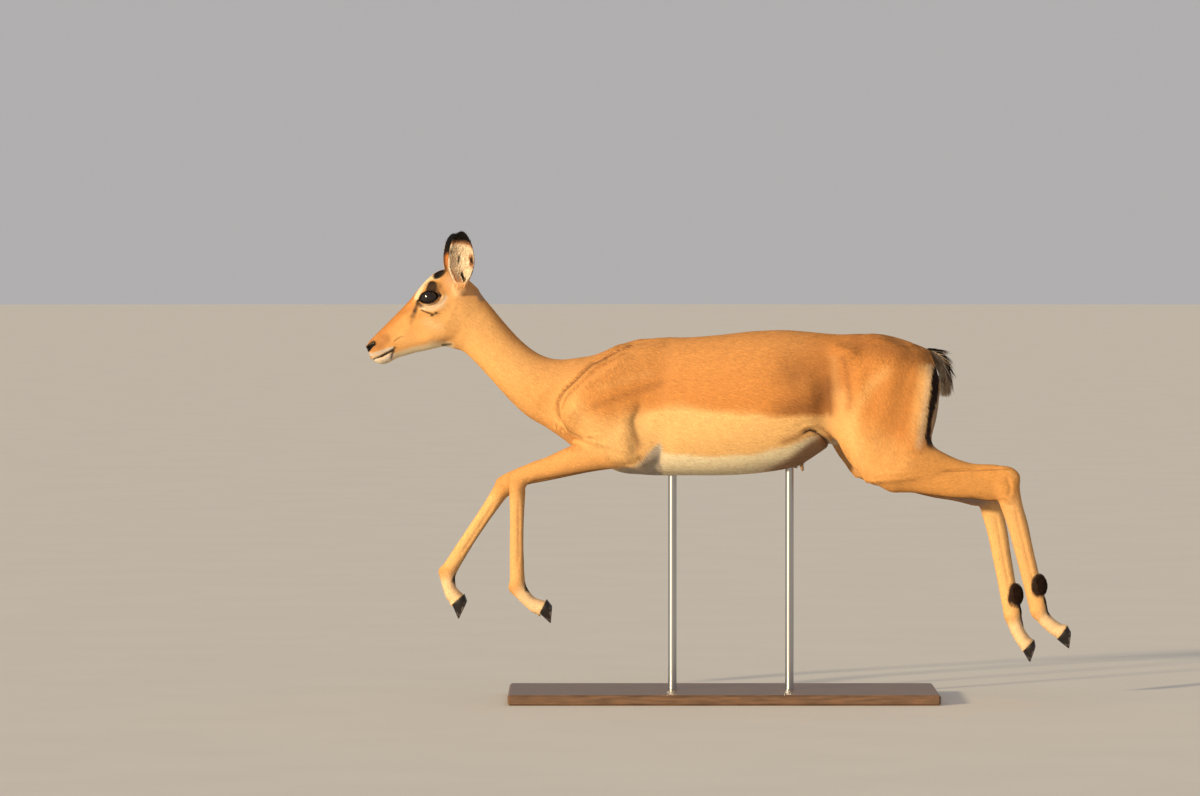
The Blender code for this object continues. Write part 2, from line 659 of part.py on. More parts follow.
def ear_rings(side, grow):
    """Points of an ear's shell, drawn on the right side, ring by ring: the outer arc, then the inner arc."""
    base, tip = (Vector(p) * MM for p in (EAR_BASE, EAR_TIP))
    if side == FAR:
        base.x, tip.x = (end.x - ahead * MM for end, ahead in zip((base, tip), FAR_EAR_AHEAD))
    along = (tip - base).normalized()
    outward = Vector((-0.42, 0.80, -0.42))
    outward = (outward - along * outward.dot(along)).normalized()
    sideways = along.cross(outward)
    rows = smooth_rows(EAR_SHAPE, 1)
    rings = []
    for place, width, arc in rows:
        arc = math.radians(arc)
        half = EAR_HALF_WIDTH * MM * width
        radius = half / math.sin(min(arc, math.pi / 2))
        thick = (EAR_THICK[0] + (EAR_THICK[1] - EAR_THICK[0]) * place) * MM
        bow = 0.012 * math.sin(math.pi * place)
        middle = base.lerp(tip, place) + outward * (radius - bow - 0.006 * (1 - place))
        points = []
        reach = radius + grow
        turns = np.linspace(-arc, arc, EAR_ARC_POINTS)
        for size, order in ((reach, turns), (max(radius - thick - grow, 0.2 * radius), turns[::-1])):
            for turn in order:
                points.append(middle - outward * (size * math.cos(turn)) + sideways * (size * math.sin(turn)))
        rings.append(np.array([tuple(p) for p in points]))
    return rings


def ear_shell(rings):
    """(points, faces) of an ear's closed shell: both walls are split along the same diagonals."""
    count, around = len(rings), len(rings[0])
    faces = []
    for i in range(count - 1):
        for j in range(around):
            a, b = i * around + j, i * around + (j + 1) % around
            c, d = a + around, b + around
            faces += [(a, b, d), (a, d, c)] if j < EAR_ARC_POINTS else [(a, b, c), (b, d, c)]
    for start in (0, (count - 1) * around):
        for j in range(EAR_ARC_POINTS - 1):
            faces.append((start + j, start + j + 1, start + around - 2 - j, start + around - 1 - j))
    return np.vstack(rings), faces


def ear(name, side, grow=0.0):
    rings = [ring * (1, side, 1) for ring in ear_rings(side, grow)]
    return new_object(name, *ear_shell(rings))


def tail(name, grow=0.0):
    rows = smooth_rows(TAIL, 1)
    grow /= MM
    rings = [oval(row[:2], row[2:4], 0, row[4] + grow, count=TAIL_RING_POINTS) for row in rows]
    return new_object(name, *skin_of(rings))


def ball(name, side, grow=0.0):
    x, y, z = EYE_CENTRE
    bpy.ops.mesh.primitive_uv_sphere_add(
        segments=14, ring_count=9, radius=EYE_RADIUS * MM + grow, location=(x * MM, side * y * MM, z * MM)
    )
    found = bpy.context.object
    found.name = name
    return found


def rod(name, x, low, high, grow=0.0):
    """An upright rod between two heights."""
    bpy.ops.mesh.primitive_cylinder_add(vertices=24, radius=ROD_RADIUS * MM + grow, depth=(high - low) * MM)
    found = bpy.context.object
    found.name = name
    found.location = (x * MM, 0, (high + low) / 2 * MM)
    bpy.ops.object.shade_smooth_by_angle()
    return found


def base(name):
    """The stand's board, with its edges eased, standing on the floor."""
    bpy.ops.mesh.primitive_cube_add(size=1, location=(BASE_MIDDLE * MM, 0, BASE_SIZE[2] / 2 * MM))
    found = bpy.context.object
    found.name = name
    found.data.transform(Matrix.Diagonal((*BASE_SIZE, 1)) * MM)
    bevel = found.modifiers.new("eased edges", "BEVEL")
    bevel.width = 4 * MM
    bevel.segments = 1
    settle(found)
    return found


def belly_height(body, x):
    """The height of a body's underside on the middle plane."""
    hit, place, _, _ = body.ray_cast(Vector((x * MM, 0, 0)), Vector((0, 0, 1)))
    return place.z / MM


def whole_body():
    """The body's volume as one decimated mesh."""
    points, quads = body_volume(VOXEL).mesh()
    body = new_object("trunk", points, quads)
    modifier = body.modifiers.new("fewer", "DECIMATE")
    modifier.ratio = BODY_TRIANGLES / (2 * len(quads))
    settle(body)
    return body


def paint():
    """Gives each piece its own material."""
    for found in bpy.data.objects:
        look = next(look for word, look in LOOKS.items() if word in found.name)
        material = bpy.data.materials.new(found.name)
        material.use_nodes = True
        surface = material.node_tree.nodes["Principled BSDF"]
        surface.inputs["Base Color"].default_value = (*look[0], 1)
        surface.inputs["Roughness"].default_value = look[1]
        surface.inputs["Metallic"].default_value = look[2]
        found.data.materials.clear()
        found.data.materials.append(material)
        found.data.shade_smooth()
        found.data.set_sharp_from_angle(angle=math.radians(40))


def main():
    for found in list(bpy.data.objects):
        bpy.data.objects.remove(found)
    body = whole_body()
    head = part_off(body, "head", HEAD_PLANES)
    part_off(head, "lower_lip", LIP_PLANES)
    part_off(body, "neck", NECK_PLANES)
    legs = (
        ("foreleg_left", NEAR, NEAR_FORELEG, FORELEG_PLANES),
        ("foreleg_right", FAR, FAR_FORELEG, FORELEG_PLANES),
        ("hindleg_left", NEAR, NEAR_HINDLEG, HINDLEG_PLANES),
        ("hindleg_right", FAR, FAR_HINDLEG, HINDLEG_PLANES),
    )
    for foot, side, joints, planes in legs:
        upper, cannon, pastern = part_leg(body, foot, joints, planes, side)
        if foot.startswith("hind"):
            part_gland(cannon, foot + "_gland", joints, side)
        for word, place in (("outer", side), ("inner", -side)):
            claw(f"{foot}_hoof_{word}", foot, joints, side, place)
    for word, side in (("left", NEAR), ("right", FAR)):
        take_out(head, ear("cutter", side, GAP))
        ear("ear_" + word, side)
        take_out(head, ball("cutter", side, GAP))
        ball("eye_" + word, side)
    take_out(body, tail("cutter", GAP))
    tail("tail")
    stand = base("stand_base")
    gap = GAP / MM
    for word, x in zip(("front", "rear"), ROD_PLACES):
        low, high = BASE_SIZE[2] - ROD_IN_BASE, belly_height(body, x) + ROD_IN_BODY
        take_out(stand, rod("cutter", x, low - gap, high, GAP))
        take_out(body, rod("cutter", x, low, high + gap, GAP))
        rod("stand_rod_" + word, x, low, high)
    paint()


if __name__ == "__main__":
    main()
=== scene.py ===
"""The looks of a life-size still model of a leaping impala ewe.

One skin, a coat of tufts and locks, eyes, claws, and materials for the stand. Metres, +Z up. The animal
faces -X and its left side faces -Y. Tables of the body are in millimetres.
"""

import math

import bmesh
import bpy
import numpy as np
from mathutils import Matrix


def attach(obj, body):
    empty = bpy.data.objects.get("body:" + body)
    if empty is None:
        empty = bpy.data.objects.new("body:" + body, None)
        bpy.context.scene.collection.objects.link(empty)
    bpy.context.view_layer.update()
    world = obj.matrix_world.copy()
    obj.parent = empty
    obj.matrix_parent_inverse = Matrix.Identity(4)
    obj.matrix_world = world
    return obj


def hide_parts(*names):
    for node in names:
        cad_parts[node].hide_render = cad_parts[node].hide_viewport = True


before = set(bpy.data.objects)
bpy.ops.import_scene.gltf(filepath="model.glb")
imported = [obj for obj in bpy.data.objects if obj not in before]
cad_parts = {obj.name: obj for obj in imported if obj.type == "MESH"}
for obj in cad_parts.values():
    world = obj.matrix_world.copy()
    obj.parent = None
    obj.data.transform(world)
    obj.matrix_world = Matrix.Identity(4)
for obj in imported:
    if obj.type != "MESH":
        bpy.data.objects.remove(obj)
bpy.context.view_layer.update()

import openvdb
from mathutils import Matrix, Vector

MM = 0.001
BODY_VOXEL, BODY_BAND = 2.4 * MM, 45 * MM
HEAD_VOXEL, HEAD_BAND = 1.1 * MM, 45 * MM
BODY_TRIANGLES, HEAD_TRIANGLES = 100000, 80000
RING_POINTS = 64
RINGS_PER_STATION = 6
NEAR, FAR = -1, 1  # the animal's left side, at -Y, and its right side
SIDE_WORDS = {NEAR: "left", FAR: "right"}
SIDE_REACH = 0.15  # metres from the middle plane to beyond the body's side

# The body's outline is given by stations, in millimetres. Each is one cross-section: an oval between
# two opposite edges, widest at a level from 0 (second edge) to 1 (first edge).
TRUNK = [  # x, back, belly, half width, widest level, roundness of the back
    (-318, 660, 620, 12, 0.45, 2.0),
    (-296, 700, 560, 44, 0.43, 1.9),
    (-272, 711, 520, 60, 0.42, 1.8),
    (-250, 718, 496, 70, 0.42, 1.7),
    (-206, 738, 477, 79, 0.42, 1.6),
    (-164, 755, 472, 88, 0.42, 1.6),
    (-122, 763, 470, 95, 0.42, 1.7),
    (-60, 764, 470, 104, 0.43, 1.9),
    (4, 769, 470, 112, 0.44, 2.0),
    (67, 776, 473, 117, 0.45, 2.0),
    (130, 779, 481, 117, 0.46, 2.0),
    (172, 777, 492, 112, 0.48, 2.0),
    (214, 773, 517, 102, 0.52, 2.0),
    (256, 770, 548, 92, 0.55, 2.0),
    (298, 771, 566, 84, 0.55, 2.0),
    (340, 768, 578, 76, 0.55, 2.0),
    (382, 757, 593, 66, 0.55, 2.0),
    (420, 747, 612, 50, 0.55, 2.0),
    (446, 736, 640, 28, 0.55, 2.0),
]
NECK = [  # x and z of the nape, x and z of the throat, half width
    (-535, 880, -575, 760, 34),
    (-505, 862, -552, 743, 37),
    (-477, 830, -525, 721, 38),
    (-447, 794, -496, 691, 39),
    (-416, 760, -467, 659, 41),
    (-384, 734, -437, 626, 46),
    (-352, 720, -403, 595, 53),
    (-315, 717, -362, 570, 62),
    (-268, 717, -315, 538, 72),
    (-216, 734, -262, 500, 76),
]
HEAD = [  # x and z of the forehead and nose, x and z of the jaw, half width, widest level
    (-512, 862, -520, 782, 14, 0.55),
    (-532, 888, -534, 758, 30, 0.56),
    (-558, 905, -550, 743, 37, 0.60),
    (-584, 903, -570, 743, 41, 0.62),
    (-607, 888, -590, 738, 41, 0.61),
    (-630, 863, -612, 733, 36, 0.58),
    (-649, 839, -633, 729, 31, 0.54),
    (-670, 817, -654, 723, 27, 0.50),
    (-691, 796, -671, 718, 25, 0.47),
    (-710, 777, -688, 710, 24, 0.46),
    (-725, 762, -704, 706, 22, 0.48),
    (-734, 752, -716, 709, 19, 0.50),
    (-739, 742, -730, 716, 13, 0.50),
]
SHOULDER = [  # x and z of the front edge, x and z of the rear edge, y of the middle, half width
    (-196, 728, -130, 730, 24, 14),
    (-232, 707, -130, 704, 38, 26),
    (-262, 692, -132, 676, 47, 32),
    (-292, 676, -136, 648, 51, 36),
    (-320, 645, -142, 615, 54, 38),
    (-335, 612, -148, 578, 56, 38),
    (-330, 582, -152, 545, 58, 38),
    (-308, 560, -156, 516, 60, 36),
]
THIGH = [  # the same
    (318, 752, 400, 742, 36, 26),
    (276, 722, 446, 712, 48, 42),
    (256, 680, 464, 672, 54, 46),
    (249, 630, 463, 630, 58, 47),
    (240, 590, 457, 590, 62, 46),
    (244, 556, 447, 552, 66, 43),
    (258, 522, 447, 526, 70, 40),
    (280, 490, 455, 506, 72, 37),
    (306, 462, 440, 480, 74, 33),
]
# The far thigh swings further forward than the near one: its stations shift by this at the stifle.
FAR_STIFLE_SHIFT = (-16, 6)
THIGH_TOP, THIGH_END = 700, 480

# Joints of each leg, x, y and z, from the body down. y is the distance from the middle plane.
NEAR_FORELEG = [(-190, 62, 524), (-421, 58, 465), (-422, 54, 242), (-369, 52, 196)]
FAR_FORELEG = [(-192, 62, 520), (-448, 58, 450), (-569, 54, 267), (-549, 52, 210)]
NEAR_HINDLEG = [(361, 73, 478), (604, 62, 454), (671, 54, 190), (719, 52, 146)]
FAR_HINDLEG = [(333, 73, 488), (573, 62, 436), (622, 54, 175), (654, 52, 112)]
# Sections of a leg: bone (0 is the upper one), place along it from 0 to 1, reach in front of the
# bone's axis, reach behind it, half width.
FORELEG = [
    (0, -0.30, 36, 14, 14),
    (0, -0.18, 56, 30, 28),
    (0, -0.05, 58, 34, 33),
    (0, 0.10, 55, 31, 33),
    (0, 0.30, 49, 24, 31),
    (0, 0.50, 41, 20, 28),
    (0, 0.67, 33, 17, 24),
    (0, 0.85, 29, 14, 20),
    (0, 1.00, 21, 25, 19.5),
    (1, 0.08, 19, 19, 19),
    (1, 0.18, 17, 17, 16),
    (1, 0.35, 16, 15, 13),
    (1, 0.60, 16, 14, 12),
    (1, 0.80, 16, 15.5, 13),
    (1, 0.92, 16, 17, 16),
    (1, 1.00, 19, 20, 18),
    (2, 0.30, 21, 11, 16.5),
    (2, 0.60, 22, 7, 16),
    (2, 0.85, 22, 13, 17.5),
    (2, 1.00, 19, 18, 19),
    (2, 1.25, 19, 18, 19),
]
HINDLEG = [
    (0, -0.16, 8, 40, 14),
    (0, -0.09, 27, 64, 28),
    (0, 0.02, 39, 80, 35),
    (0, 0.20, 36, 68, 35),
    (0, 0.36, 37, 57, 33),
    (0, 0.54, 38, 41, 28),
    (0, 0.71, 36, 38, 23),
    (0, 0.88, 38, 40, 20),
    (0, 1.00, 45, 35, 19.5),
    (1, 0.08, 29, 25, 18.5),
    (1, 0.18, 25, 22, 17),
    (1, 0.33, 21, 23, 15),
    (1, 0.50, 20, 21, 14),
    (1, 0.68, 19, 20, 13.5),
    (1, 0.82, 19, 19, 14.5),
    (1, 0.93, 19, 21, 17.5),
    (1, 1.00, 19, 21, 19.5),
    (2, 0.25, 20, 13, 17),
    (2, 0.50, 21, 10, 16.5),
    (2, 0.80, 20, 12, 17.5),
    (2, 1.00, 18, 19, 19),
    (2, 1.25, 18, 19, 19),
]
NECK_WIDEST, NECK_ROUND, HEAD_ROUND, LEG_ROUND = 0.45, 1.8, 2.3, 2.2
JOINT_TURN = 0.15  # share of a bone over which its sections turn to meet the next bone

TEAT = (172, 16, 510, 177, 18, 481)  # x, y and z of its root and of its end

# How roundly each piece of the body joins the rest, in millimetres.
BLENDS = {
    "trunk": 1, "neck": 40, "head": 26, "shoulder": 42, "foreleg": 18, "thigh": 36, "hindleg": 32,
    "gland": 6, "tail": 9, "ear": 7, "lids": 7, "opening": 1.2,
}
BODY_BOX = ((-610, -150, 60), (780, 150, 850))
HEAD_BOX = ((-760, -130, 690), (-440, 130, 1000))
COAT_SHORT, COAT_LONGER, COAT_ON_FACE = 1.1, 1.5, 0.42  # depth, more on the body, share of it on the face

# Muscles and bones that show, as ovals: x, y and z of each end, half width across, half depth, and
# the blend. y is the distance from the middle plane: they are on both sides of the body.
BODY_SHAPES = [
    (-214, 30, 716, -320, 68, 618, 9, 20, 30),  # in front of the shoulder blade's spine
    (-168, 36, 706, -292, 70, 606, 11, 24, 26),  # behind it
    (-324, 74, 606, -300, 78, 576, 14, 18, 20),  # point of the shoulder
    (-196, 52, 690, -202, 75, 540, 18, 30, 24),  # long head of the triceps
    (-292, 78, 584, -196, 80, 518, 14, 22, 20),  # lateral head of the triceps
    (-188, 66, 506, -166, 66, 496, 13, 12, 14),  # point of the elbow
    (248, 64, 732, 276, 70, 720, 12, 11, 30),  # hip bone
    (276, 72, 704, 318, 82, 520, 20, 24, 32),  # front of the thigh
    (340, 52, 724, 384, 82, 540, 22, 40, 36),  # side of the thigh
    (418, 40, 706, 412, 74, 560, 18, 18, 30),  # back of the thigh
    (424, 34, 716, 438, 30, 690, 11, 10, 20),  # sitting bone
    (*TEAT, 6.2, 6.2, 5),  # teat
]
LOWER_SHAPES = [
    (338, 80, 500, 364, 80, 462, 13, 12, 20),  # kneecap
    (364, 80, 474, 530, 74, 446, 12, 18, 20),  # shin muscle
    (400, 76, 520, 510, 68, 484, 16, 18, 20),  # calf
    (588, 73, 456, 606, 72, 428, 8, 12, 12),  # outer ankle bone
    (592, 66, 482, 612, 64, 480, 9, 9, 12),  # point of the hock
]
BODY_HOLLOWS = [
    (170, 130, 722, 226, 124, 690, 20, 28, 44),  # below the loin
    (226, 117, 684, 236, 117, 604, 18, 14, 34),  # in front of the thigh
    (268, 121, 700, 270, 125, 640, 14, 10, 30),  # between hip and thigh
    (404, 122, 676, 366, 142, 540, 14, 9, 44),  # between side and back of the thigh
    (-164, 116, 616, -158, 113, 520, 18, 15, 32),  # behind the triceps
    (-124, 121, 560, -116, 117, 505, 18, 14, 36),  # behind the elbow
    (-380, 76, 560, -330, 82, 640, 16, 20, 34),  # between neck and shoulder
    (-302, 94, 672, -234, 74, 720, 13, 9, 16),  # behind the edge of the neck
]
CALF_HOLLOW = (470, 104, 478, 580, 94, 474, 11, 6, 9)  # in front of the Achilles tendon
HEAD_SHAPES = [
    (-617, 29, 845, -592, 31, 849, 18, 26, 14),  # eye socket
    (-614, 34, 862, -588, 36, 869, 10, 8, 10),  # brow
    (-650, 26, 808, -578, 34, 826, 9, 8, 16),  # cheekbone
    (-606, 22, 786, -572, 24, 792, 14, 30, 20),  # chewing muscle
    (-722, 10, 738, -708, 10, 738, 12, 12, 12),  # upper lip
    (-714, 4, 720, -694, 6, 720, 12, 10, 10),  # lower lip
]
HEAD_HOLLOWS = [
    (-576, 54, 874, -560, 50, 862, 10, 12, 14),  # temple
    (-652, 50, 832, -638, 54, 822, 12, 8, 12),  # in front of the eye
    (-690, 37, 764, -660, 41, 790, 12, 9, 14),  # side of the nose
    (-640, 46, 760, -620, 52, 764, 12, 12, 20),  # in front of the chewing muscle
    (-735, 19, 736, -726, 22, 746, 5.5, 3.6, 3),  # nostril
    (-731, 15, 740, -724, 17, 747, 4, 3, 2),  # its inside
]

# Folds and grooves: x and z along a line of the side view, width, depth, and how high the skin
# stands on the line's first side (left of its direction).
BODY_CREASES = [
    (
        [
            (-188, 746), (-205, 737), (-232, 722), (-265, 705), (-292, 680),
            (-321, 652), (-335, 625), (-333, 598), (-315, 570), (-287, 554),
        ],
        4.5, 3.6, 1.0,
    ),
    ([(-278, 554), (-268, 553), (-258, 547)], 3, 2.0, 0.8),
    ([(-178, 610), (-178, 560), (-170, 512)], 9, 1.5, 0),
    ([(166, 560), (186, 569), (204, 565), (222, 548), (244, 516), (262, 490)], 5, 5, 2.2),
    ([(-350, 588), (-346, 576)], 3, 1.2, 0.5),
    ([(-341, 582), (-336, 571)], 3, 1.2, 0.5),
    ([(-332, 576), (-326, 566)], 3, 1.2, 0.5),
]
LEG_CREASES = [  # of the near legs; those of the hind leg go to the far one too
    ([(465, 485), (530, 485), (598, 487)], 3.5, 2.6, 0.3),  # Achilles tendon
    ([(584, 425), (600, 414), (617, 408)], 4, 1.4, 0.4),  # hock
    ([(600, 476), (608, 452), (607, 428)], 4, 1.3, 0.3),
    ([(-404, 470), (-398, 455), (-402, 440)], 3.5, 1.3, 0.3),  # knee
]
HEAD_CREASES = [
    ([(-730, 715), (-724, 716), (-708, 722), (-682, 736), (-675, 741)], 1.9, 2.8, 0.5),  # mouth
    ([(-681, 752), (-672, 759), (-663, 764)], 1.8, 1.1, 0.3),  # above its corner
    ([(-735, 733), (-731, 742), (-721, 750)], 2.2, 2.2, 0.6),  # rim of the nostril
    ([(-623, 819), (-602, 811), (-589, 813)], 2.2, 0.8, 0.3),  # below the eye
    ([(-628, 838), (-641, 813), (-646, 797)], 3, 1.0, 0.4),  # from the eye's corner
    ([(-556, 864), (-543, 857), (-528, 862)], 3, 1.2, 0.4),  # below the ear
]
# A tendon's groove down each side of a cannon bone: shares of its length, and reach behind its axis.
CANNON_GROOVE = (0.12, 0.86, 3.5)
GROOVE_WIDTH, GROOVE_DEPTH = 3.0, 1.5

EYE_CENTRE = (-606, 37.2, 845.8)
EYEBALL_RADIUS, LID_RADIUS = 17.9, 20.4
EYE_OUT = (-0.10, 0.99, 0.05)  # the way the right eye looks
EYE_TILT = math.radians(12)  # its rear corner is higher
EYE_HALF = (21.4, 12.3)  # half length and half height of the opening
EYE_ROUND = 0.045  # metres round an eye that its lids shape
NOSTRIL = ((-730, 742), (6, 8), 10)  # x and z of its middle, its half sizes, and the least y

HEAD_CUT = ((-503, 0, 777), (0.8, 0, -0.6))  # where the finely made head meets the body's skin
HEAD_BRIDGE = 2.0

FEET = {  # x and z in the side view: front and back of the coronet, toe, heel
    "foreleg_left": ((-375, 185), (-360, 214), (-351, 163), (-348, 199)),
    "foreleg_right": ((-560, 198), (-534, 220), (-546, 166), (-528, 204)),
    "hindleg_left": ((709, 130), (730, 159), (734, 110), (738, 146)),
    "hindleg_right": ((643, 100), (667, 124), (658, 75), (670, 110)),
}
CLAW_HALF = 11.3
CLAW_SPREAD = 11.9
CLAW_RINGS, CLAW_POINTS = 26, 40

GLAND_PLACES = {NEAR: 0.805, FAR: 0.84}  # along the hind cannon bones
GLAND_RADII = (25, 19, 19)  # along the bone, across, fore and aft
GLAND_BEHIND = 14

EAR_BASE = (-536, 30, 874)
EAR_TIP = (-534, 98, 983)
EAR_OUTWARD = (-0.42, 0.80, -0.42)  # the way the right ear's hollow faces
EAR_HALF_WIDTH = 30.5
FAR_EAR_AHEAD = (7, 19)  # how far the base and the tip of the far ear are in front of the near one's
FAR_EAR_LOWER = 5  # and how much lower its tip is
EAR_THICK = (5.5, 3.2)
EAR_SHAPE = [  # place from base to tip, share of the width, half of the arc in degrees
    (0.00, 0.44, 128),
    (0.15, 0.63, 114),
    (0.30, 0.88, 94),
    (0.48, 1.00, 74),
    (0.66, 0.93, 62),
    (0.82, 0.74, 52),
    (0.93, 0.51, 46),
    (0.97, 0.37, 42),
    (1.00, 0.21, 38),
]
EAR_ARC_POINTS = 33
EAR_COAT = 0.4 * MM
EAR_ROOT = (-541, 33, 860, -537, 41, 870, 11, 14, 8)  # flesh that fills the foot of the hollow

TAIL = [  # x and z of the front edge, x and z of the rear edge, half width
    (424, 722, 432, 738, 9),
    (440, 716, 453, 740, 11),
    (452, 706, 472, 727, 12),
    (460, 692, 484, 706, 15),
    (464, 673, 489, 680, 16),
    (467, 656, 487, 659, 14),
    (471, 642, 483, 643, 8),
]
TAIL_CORE = 0.42  # share of the tail's thickness that is skin and bone

SIDES = ((NEAR, NEAR_FORELEG, NEAR_HINDLEG), (FAR, FAR_FORELEG, FAR_HINDLEG))
LEGS = (
    ("foreleg_left", NEAR, NEAR_FORELEG),
    ("foreleg_right", FAR, FAR_FORELEG),
    ("hindleg_left", NEAR, NEAR_HINDLEG),
    ("hindleg_right", FAR, FAR_HINDLEG),
)


# ---------------------------------------------------------------- shapes of the body

def on_side(place, side):
    """A place or a way of the right side, moved to a side of the body."""
    return np.array(place) * (1, side, 1)


def smooth_rows(rows, steps):
    """Rows of numbers with Catmull-Rom rows put between them."""
    rows = np.array(rows, float)
    ends = np.vstack([2 * rows[0] - rows[1], rows, 2 * rows[-1] - rows[-2]])
    found = []
    for i in range(len(rows) - 1):
        before, start, end, after = ends[i : i + 4]
        for t in np.linspace(0, 1, steps, endpoint=False):
            found.append(
                0.5 * (2 * start + (end - before) * t)
                + 0.5 * (2 * before - 5 * start + 4 * end - after) * t**2
                + 0.5 * (3 * start - before - 3 * end + after) * t**3
            )
    return np.vstack([found, rows[-1]])


def oval(first, second, y, half, widest=0.5, power=2.0, count=RING_POINTS):
    """A ring between two edges, (x, z), in millimetres. The result is in metres."""
    turn = np.linspace(0, 2 * math.pi, count, endpoint=False)
    across, along = np.sin(turn), np.cos(turn)
    power = np.where(along > 0, power, 2.0)
    reach = np.where(along > 0, 1 - widest, widest)
    level = widest + reach * np.sign(along) * np.abs(along) ** (2 / power)
    width = np.sign(across) * np.abs(across) ** (2 / power) * half
    x = second[0] + (first[0] - second[0]) * level
    z = second[1] + (first[1] - second[1]) * level
    return np.stack([x, y + width, z], axis=1) * MM


def skin_of(rings):
    """(points, triangles) of the closed shape through rings of equal length."""
    count, around = len(rings), len(rings[0])
    points = np.vstack([*rings, rings[0].mean(0), rings[-1].mean(0)])
    i, j = np.meshgrid(np.arange(count - 1), np.arange(around), indexing="ij")
    a, b = i * around + j, i * around + (j + 1) % around
    c, d = a + around, b + around
    sides = [np.stack(corners, -1).reshape(-1, 3) for corners in ((a, b, d), (a, d, c))]
    k = np.arange(around)
    k2 = (k + 1) % around
    first = np.stack([np.full(around, count * around), k2, k], -1)
    last_start = (count - 1) * around
    last = np.stack([np.full(around, count * around + 1), last_start + k, last_start + k2], -1)
    return points, np.concatenate([*sides, first, last])


def trunk_loft():
    rings = []
    for x, back, belly, half, level, power in smooth_rows(TRUNK, RINGS_PER_STATION):
        rings.append(oval((x, back), (x, belly), 0, half, level, power))
    return skin_of(rings)


def neck_loft():
    rows = smooth_rows(NECK, RINGS_PER_STATION)
    return skin_of([oval(row[:2], row[2:4], 0, row[4], NECK_WIDEST, NECK_ROUND) for row in rows])


def head_loft():
    rows = smooth_rows(HEAD, RINGS_PER_STATION)
    return skin_of([oval(row[:2], row[2:4], 0, row[4], row[5], HEAD_ROUND) for row in rows])


def limb_top_loft(stations, side):
    """The top of a limb: a shoulder or a thigh."""
    rows = smooth_rows(stations, RINGS_PER_STATION)
    return skin_of([oval(row[:2], row[2:4], side * row[4], row[5]) for row in rows])


def leg_loft(joints, sections, side):
    """A leg from elbow or stifle to the hoof: sections square to the bones, turning at each joint."""
    joints = np.array(joints, float)
    steps = np.diff(joints, axis=0)
    angles = np.unwrap(np.arctan2(steps[:, 2], steps[:, 0]))
    rows = []
    for bone, place, front, rear, half in sections:
        x, y, z = joints[bone] + steps[bone] * place
        angle = angles[bone]
        if place > 1 - JOINT_TURN and bone < len(steps) - 1:
            angle += (angles[bone + 1] - angle) * (place - 1 + JOINT_TURN) / (2 * JOINT_TURN)
        if place < JOINT_TURN and bone > 0:
            angle += (angles[bone - 1] - angle) * (JOINT_TURN - place) / (2 * JOINT_TURN)
        ahead = np.array([math.sin(angle), -math.cos(angle)])
        middle = np.array([x, z])
        rows.append([*(middle + ahead * front), *(middle - ahead * rear), side * y, half])
    rows = smooth_rows(rows, RINGS_PER_STATION)
    return skin_of([oval(row[:2], row[2:4], row[4], row[5], power=LEG_ROUND) for row in rows])


def thigh_stations(side):
    """The thigh's stations, swung forward on the far side."""
    if side == NEAR:
        return THIGH
    rows = []
    for x1, z1, x2, z2, y, half in THIGH:
        swing1, swing2 = ((THIGH_TOP - z) / (THIGH_TOP - THIGH_END) for z in (z1, z2))
        swing1, swing2 = max(swing1, 0), max(swing2, 0) * 0.4
        dx, dz = FAR_STIFLE_SHIFT
        rows.append((x1 + dx * swing1, z1 + dz * swing1, x2 + dx * swing2, z2, y, half))
    return rows


def tail_loft():
    """The tail's skin, thin inside its long hair."""
    rings = []
    for x1, z1, x2, z2, half in smooth_rows(TAIL, RINGS_PER_STATION):
        middle, reach = np.array([x1 + x2, z1 + z2]) / 2, np.array([x1 - x2, z1 - z2]) / 2 * TAIL_CORE
        rings.append(oval(middle + reach, middle - reach, 0, half * TAIL_CORE))
    return skin_of(rings)


def ear_frame(side):
    """Base, tip and the three axes of an ear: along, outward and sideways, as arrays."""
    base, tip = on_side(EAR_BASE, side) * MM, on_side(EAR_TIP, side) * MM
    if side == FAR:
        base[0] -= FAR_EAR_AHEAD[0] * MM
        tip[0] -= FAR_EAR_AHEAD[1] * MM
        tip[2] -= FAR_EAR_LOWER * MM
    along = (tip - base) / np.linalg.norm(tip - base)
    outward = on_side(EAR_OUTWARD, side)
    outward = outward - along * (outward @ along)
    outward /= np.linalg.norm(outward)
    return base, tip, along, outward, np.cross(along, outward)


def ear_loft(side):
    """(points, triangles) of an ear's closed shell, without its short coat."""
    base, tip, _, outward, sideways = ear_frame(side)
    rings = []
    for place, width, arc in smooth_rows(EAR_SHAPE, 4):
        arc = math.radians(arc)
        radius = EAR_HALF_WIDTH * MM * width / math.sin(min(arc, math.pi / 2)) - EAR_COAT
        thick = (EAR_THICK[0] + (EAR_THICK[1] - EAR_THICK[0]) * place) * MM - 2 * EAR_COAT
        bow = 0.012 * math.sin(math.pi * place)
        middle = base + (tip - base) * place + outward * (radius - bow - 0.006 * (1 - place))
        turns = np.linspace(-arc, arc, EAR_ARC_POINTS)
        inner = max(radius - thick, 0.2 * radius)
        reaches = np.repeat([radius, inner], EAR_ARC_POINTS)
        turns = np.concatenate([turns, turns[::-1]])[:, None]
        rings.append(middle + reaches[:, None] * (sideways * np.sin(turns) - outward * np.cos(turns)))
    return shell_of(rings)


